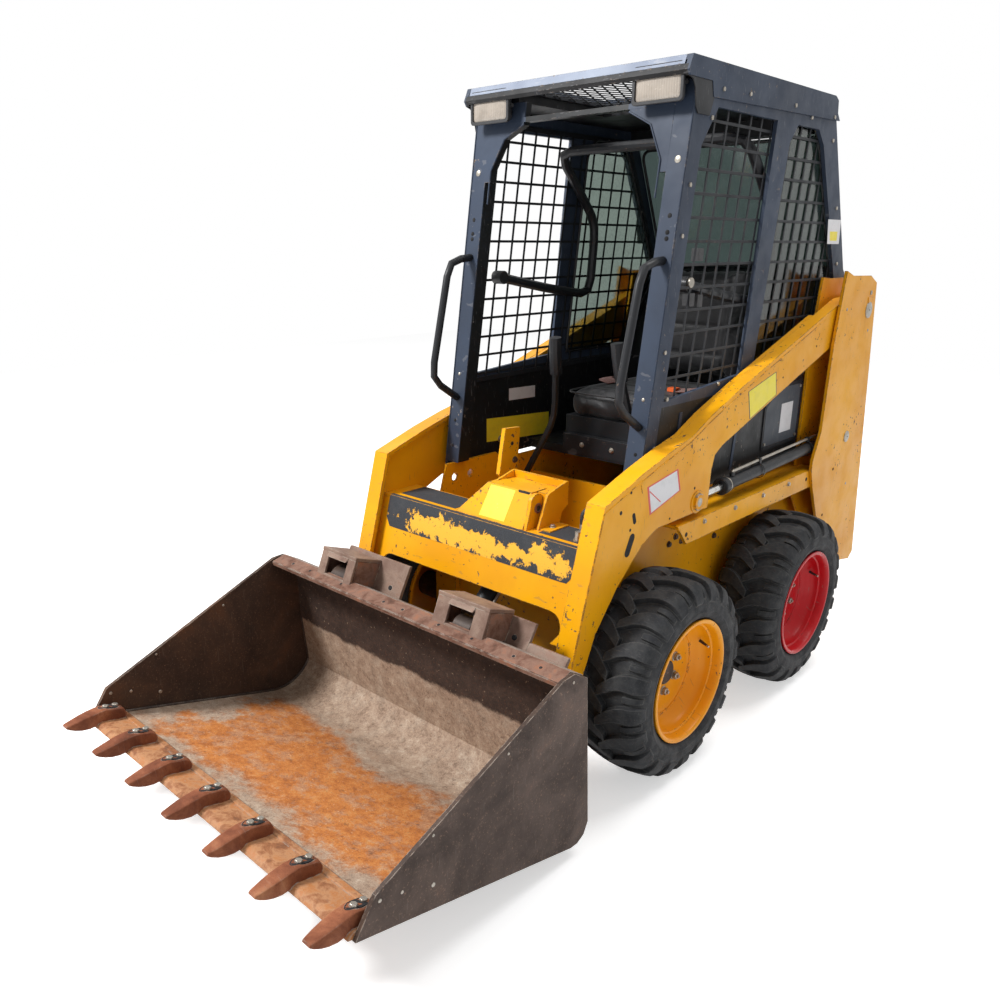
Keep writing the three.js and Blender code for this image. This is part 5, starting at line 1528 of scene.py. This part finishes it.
belt = Piece("seat_belt", "machine", "seat_vinyl")
for side in (1, -1):
    strap = [(side * 233, 470, 800), (side * 231, 420, 905), (side * 224, 330, 946), (side * 190, 235, 951),
             (side * 120, 200, 948)]
    strap = rounded([Vector(p) for p in strap], 50)
    rings = []
    for i, p in enumerate(strap):
        run = (strap[min(i + 1, len(strap) - 1)] - strap[max(i - 1, 0)]).normalized()
        out = Vector((side, 0, 0.55)).normalized()
        out = (out - run * out.dot(run)).normalized()
        if p.z > 930:
            flat = Vector((side * 0.25, 0, 1))
            out = (flat - run * flat.dot(run)).normalized()
        width = run.cross(out)
        rings.append([p + width * a + out * b for a, b in ((23, 0.9), (-23, 0.9), (-23, -0.9), (23, -0.9))])
    belt.use(BELT).loft(rings)
    belt.use(MOULDED).box((side * 232 - 10, 455, 780), (side * 232 + 10, 490, 860))
belt.use(ORANGE).box((96, 186, 944), (126, 214, 956))
belt.make(smooth_all=True, angle=40)


# ------------------------------------------------------------------ rear end, not seen in the photo
rear = Piece("rear_grille", "tailgate", "black_parts")
# louvres in the gate's opening, each a bent blade, with a frame round them
# a dark sheet of painted shade behind the louvres
rear.use(PAINTED_SHADE).box((-189.6, 1004.2, 560.4), (189.6, 1006, 859.6))
rear.use(BLACK)
LOUVRES, LOUVRE_PITCH = 9, 32
for i in range(LOUVRES):
    z = 574 + i * LOUVRE_PITCH
    rear.prism([(1006, z), (1020, z - 9), (1024, z - 9), (1024, z - 6.5), (1021, z - 6.5), (1006, z + 3)],
               -189, 189)
for x in (-95, 0, 95):
    rear.box((x - 3, 1005.5, 560.6), (x + 3, 1019, 859.4))
rear.make(bevel=0.6, segments=1)

gate = Piece("tailgate_details", "tailgate", "yellow_paint")
# pressed stiffeners, a recessed latch with its pull, and bolts at the corners
gate.use(YELLOW)
for z in (410, 470):
    gate.prism([(1025.5, z), (1031, z + 6), (1031, z + 18), (1025.5, z + 24)], -210, 210)
gate.use(BLACK).prism(rounded_plan(-286, 640, -218, 760, 12), 1025.5, 1029, "y")
# the latch recess's floor is a dark sheet of painted shade
gate.use(PAINTED_SHADE).prism(rounded_plan(-278, 650, -226, 750, 8), 1028.5, 1029.6, "y")
gate.use(MOULDED).tube([(-268, 1029, 668), (-268, 1037, 676), (-268, 1037, 724), (-268, 1029, 732)], 5, 10,
                       bend=8)
gate.use(ZINC).button((-240, 1029, 700), (0, 1, 0), 9, 3, 20)
for x in (-270, 270):
    for z in (366, 920):
        gate.use(ZINC).bolt((x, 1026, z), (0, 1, 0), 7, 5)
gate.use(BLACK_DECAL).box((-120, 1025.8, 890), (120, 1026.4, 918))
gate.make(bevel=0.8, segments=1)


def rear_lamp(piece, side):
    """A tail lamp and a reflector on the gate post."""
    x = side * 334
    piece.use(MOULDED).prism(rounded_plan(x - 24, 812, x + 24, 892, 8), 1013.5, 1024, "y")
    piece.use(RED_LENS).prism(rounded_plan(x - 19, 817, x + 19, 862, 6), 1023.5, 1031, "y")
    piece.use(AMBER_LENS).prism(rounded_plan(x - 19, 864, x + 19, 887, 5), 1023.5, 1029, "y")
    piece.use(RED_DECAL).prism(rounded_plan(x - 13, 470, x + 13, 520, 4), 1013.5, 1016.5, "y")
    for z in (440, 560, 720):
        piece.use(ZINC).bolt((x, 1014, z), (0, 1, 0), 6, 4)


pair("rear_lamp", "black_parts", "machine", rear_lamp, bevel=0.8, segments=1)


HOOD_FOOT, HOOD_TOP = Vector((0, 984, 960)), Vector((0, 892, 1272))


def hood_point(x, t, lift=0.0):
    """A point on the hood's rear slope: t is 0 at its foot and 1 at its top, lift is off the sheet."""
    run = HOOD_TOP - HOOD_FOOT
    out = Vector((0, run.z, -run.y)).normalized()
    return Vector((x, 0, 0)) + HOOD_FOOT + run * t + out * lift


hood = Piece("hood_details", "machine", "black_parts")
# louvre slats, each over a dark strip of painted shade
for i in range(8):
    t = 0.22 + i * 0.075
    for ends in ((-280, -20), (20, 280)):
        for material, slat in ((PAINTED_SHADE, ((0, 0.2), (0.03, 0.2), (0.03, -1), (0, -1))),
                               (BLACK, ((0.03, -0.5), (0.042, -0.5), (0.018, 5.5), (0.012, 4.5)))):
            hood.use(material).loft([[hood_point(x, t + dt, lift) for dt, lift in slat] for x in ends],
                                    smooth=False)
HOOD_OUT = hood_point(0, 0, 1) - hood_point(0, 0)
for x in (-330, 330):
    for t in (0.12, 0.88):
        hood.use(ZINC).bolt(hood_point(x, t), HOOD_OUT, 7, 5)
hood.use(MOULDED).button(hood_point(-230, 0.08), HOOD_OUT, 34, 8, 32, 2, (12, 30))
hood.make(bevel=0.6, segments=1)

BUMPER_BACK = 1040
tail = Piece("rear_bumper_details", "machine", "yellow_paint")
# steel rings round holes whose insides are dark discs of painted shade
for x in (-250, 250):
    tail.use(DARK_STEEL).lathe([(-1, 14), (-1, 30), (6, 30), (6, 14)], (x, BUMPER_BACK, 280), (0, 1, 0), 32)
    tail.use(PAINTED_SHADE).button((x, BUMPER_BACK, 280), (0, 1, 0), 14.5, 0.6, 32)
for x in (-330, -120, 120, 330):
    tail.use(ZINC).bolt((x, BUMPER_BACK, 255), (0, 1, 0), 8, 6)
tail.make(bevel=0.8, segments=1)


# ------------------------------------------------------------------ floor, light and camera
def backdrop_material(name, colour, seen):
    """Plain colour that shows as white to the camera and in reflections, and keeps the object's shadow."""
    m = Mat(name, Roughness=0.9, Specular_IOR_Level=0.0)
    m.put(m.shader.inputs["Base Color"],
          m.mix(m.step(m.noise(0.7, 3), 0.3, 0.7), colour, shade(colour, 0.985)))
    m.put(m.shader.inputs["Emission Color"], (1.0, 1.0, 1.0))
    path = m.add("LightPath")
    both = m.plus(path.outputs["Is Camera Ray"], path.outputs["Is Glossy Ray"], True)
    both = m.plus(both, path.outputs["Is Transmission Ray"], True)
    m.put(m.shader.inputs["Emission Strength"], m.times(both, seen))
    return m.m


floor_mesh = bpy.data.meshes.new("studio_floor")
FLOOR, STEPS = 9.0, 8
floor_mesh.from_pydata([(FLOOR * (2 * i / STEPS - 1), FLOOR * (2 * j / STEPS - 1), 0)
                        for j in range(STEPS + 1) for i in range(STEPS + 1)], [],
                       [(j * (STEPS + 1) + i, j * (STEPS + 1) + i + 1, (j + 1) * (STEPS + 1) + i + 1,
                         (j + 1) * (STEPS + 1) + i) for j in range(STEPS) for i in range(STEPS)])
floor_mesh.materials.append(backdrop_material("studio_floor", (0.86, 0.86, 0.86), 0.52))
floor = bpy.data.objects.new("studio_floor", floor_mesh)
bpy.context.scene.collection.objects.link(floor)

world = bpy.data.worlds.new("studio")
bpy.context.scene.world = world
world.use_nodes = True
tree = world.node_tree
path = tree.nodes.new("ShaderNodeLightPath")
seen, either = tree.nodes.new("ShaderNodeMath"), tree.nodes.new("ShaderNodeMath")
for node, rays in ((either, ("Is Camera Ray", "Is Glossy Ray")), (seen, ("Is Transmission Ray",))):
    node.operation, node.use_clamp = "ADD", True
    for i, ray in enumerate(rays):
        tree.links.new(path.outputs[ray], node.inputs[i])
tree.links.new(either.outputs[0], seen.inputs[1])
strength = tree.nodes.new("ShaderNodeMapRange")
strength.inputs["To Min"].default_value = 0.46
strength.inputs["To Max"].default_value = 1.0
tree.links.new(seen.outputs[0], strength.inputs["Value"])
tree.nodes["Background"].inputs["Color"].default_value = (1, 1, 1, 1)
tree.links.new(strength.outputs[0], tree.nodes["Background"].inputs["Strength"])


def lamp(name, place, target, size, power):
    light = bpy.data.lights.new(name, "AREA")
    light.shape, light.size, light.energy = "DISK", size, power
    obj = bpy.data.objects.new(name, light)
    obj.location = at(place)
    obj.rotation_mode = "QUATERNION"
    obj.rotation_quaternion = (at(target) - at(place)).to_track_quat("-Z", "Y")
    bpy.context.scene.collection.objects.link(obj)


lamp("key", (-2600, -4200, 5200), (0, -300, 500), 1.6, 520)
lamp("top", (900, 1800, 5200), (0, 200, 900), 3.0, 150)

camera_data = bpy.data.cameras.new("camera")
camera_data.sensor_width = 36.0
camera_data.lens = 30.54
camera_data.shift_x, camera_data.shift_y = 0.0065, 0.0453
camera_data.clip_start, camera_data.clip_end = 0.05, 60
camera = bpy.data.objects.new("camera", camera_data)
bpy.context.scene.collection.objects.link(camera)
EYE = (1553.6, -2202.4, 1392.6)
YAW, PITCH, ROLL = math.radians(42.9), math.radians(-19.6), math.radians(0.1)
camera.matrix_world = (Matrix.Translation(at(EYE)) @ Matrix.Rotation(YAW, 4, "Z")
                       @ Matrix.Rotation(math.radians(90) + PITCH, 4, "X") @ Matrix.Rotation(ROLL, 4, "Z"))
bpy.context.scene.camera = camera
bpy.context.scene.view_settings.view_transform = "Standard"
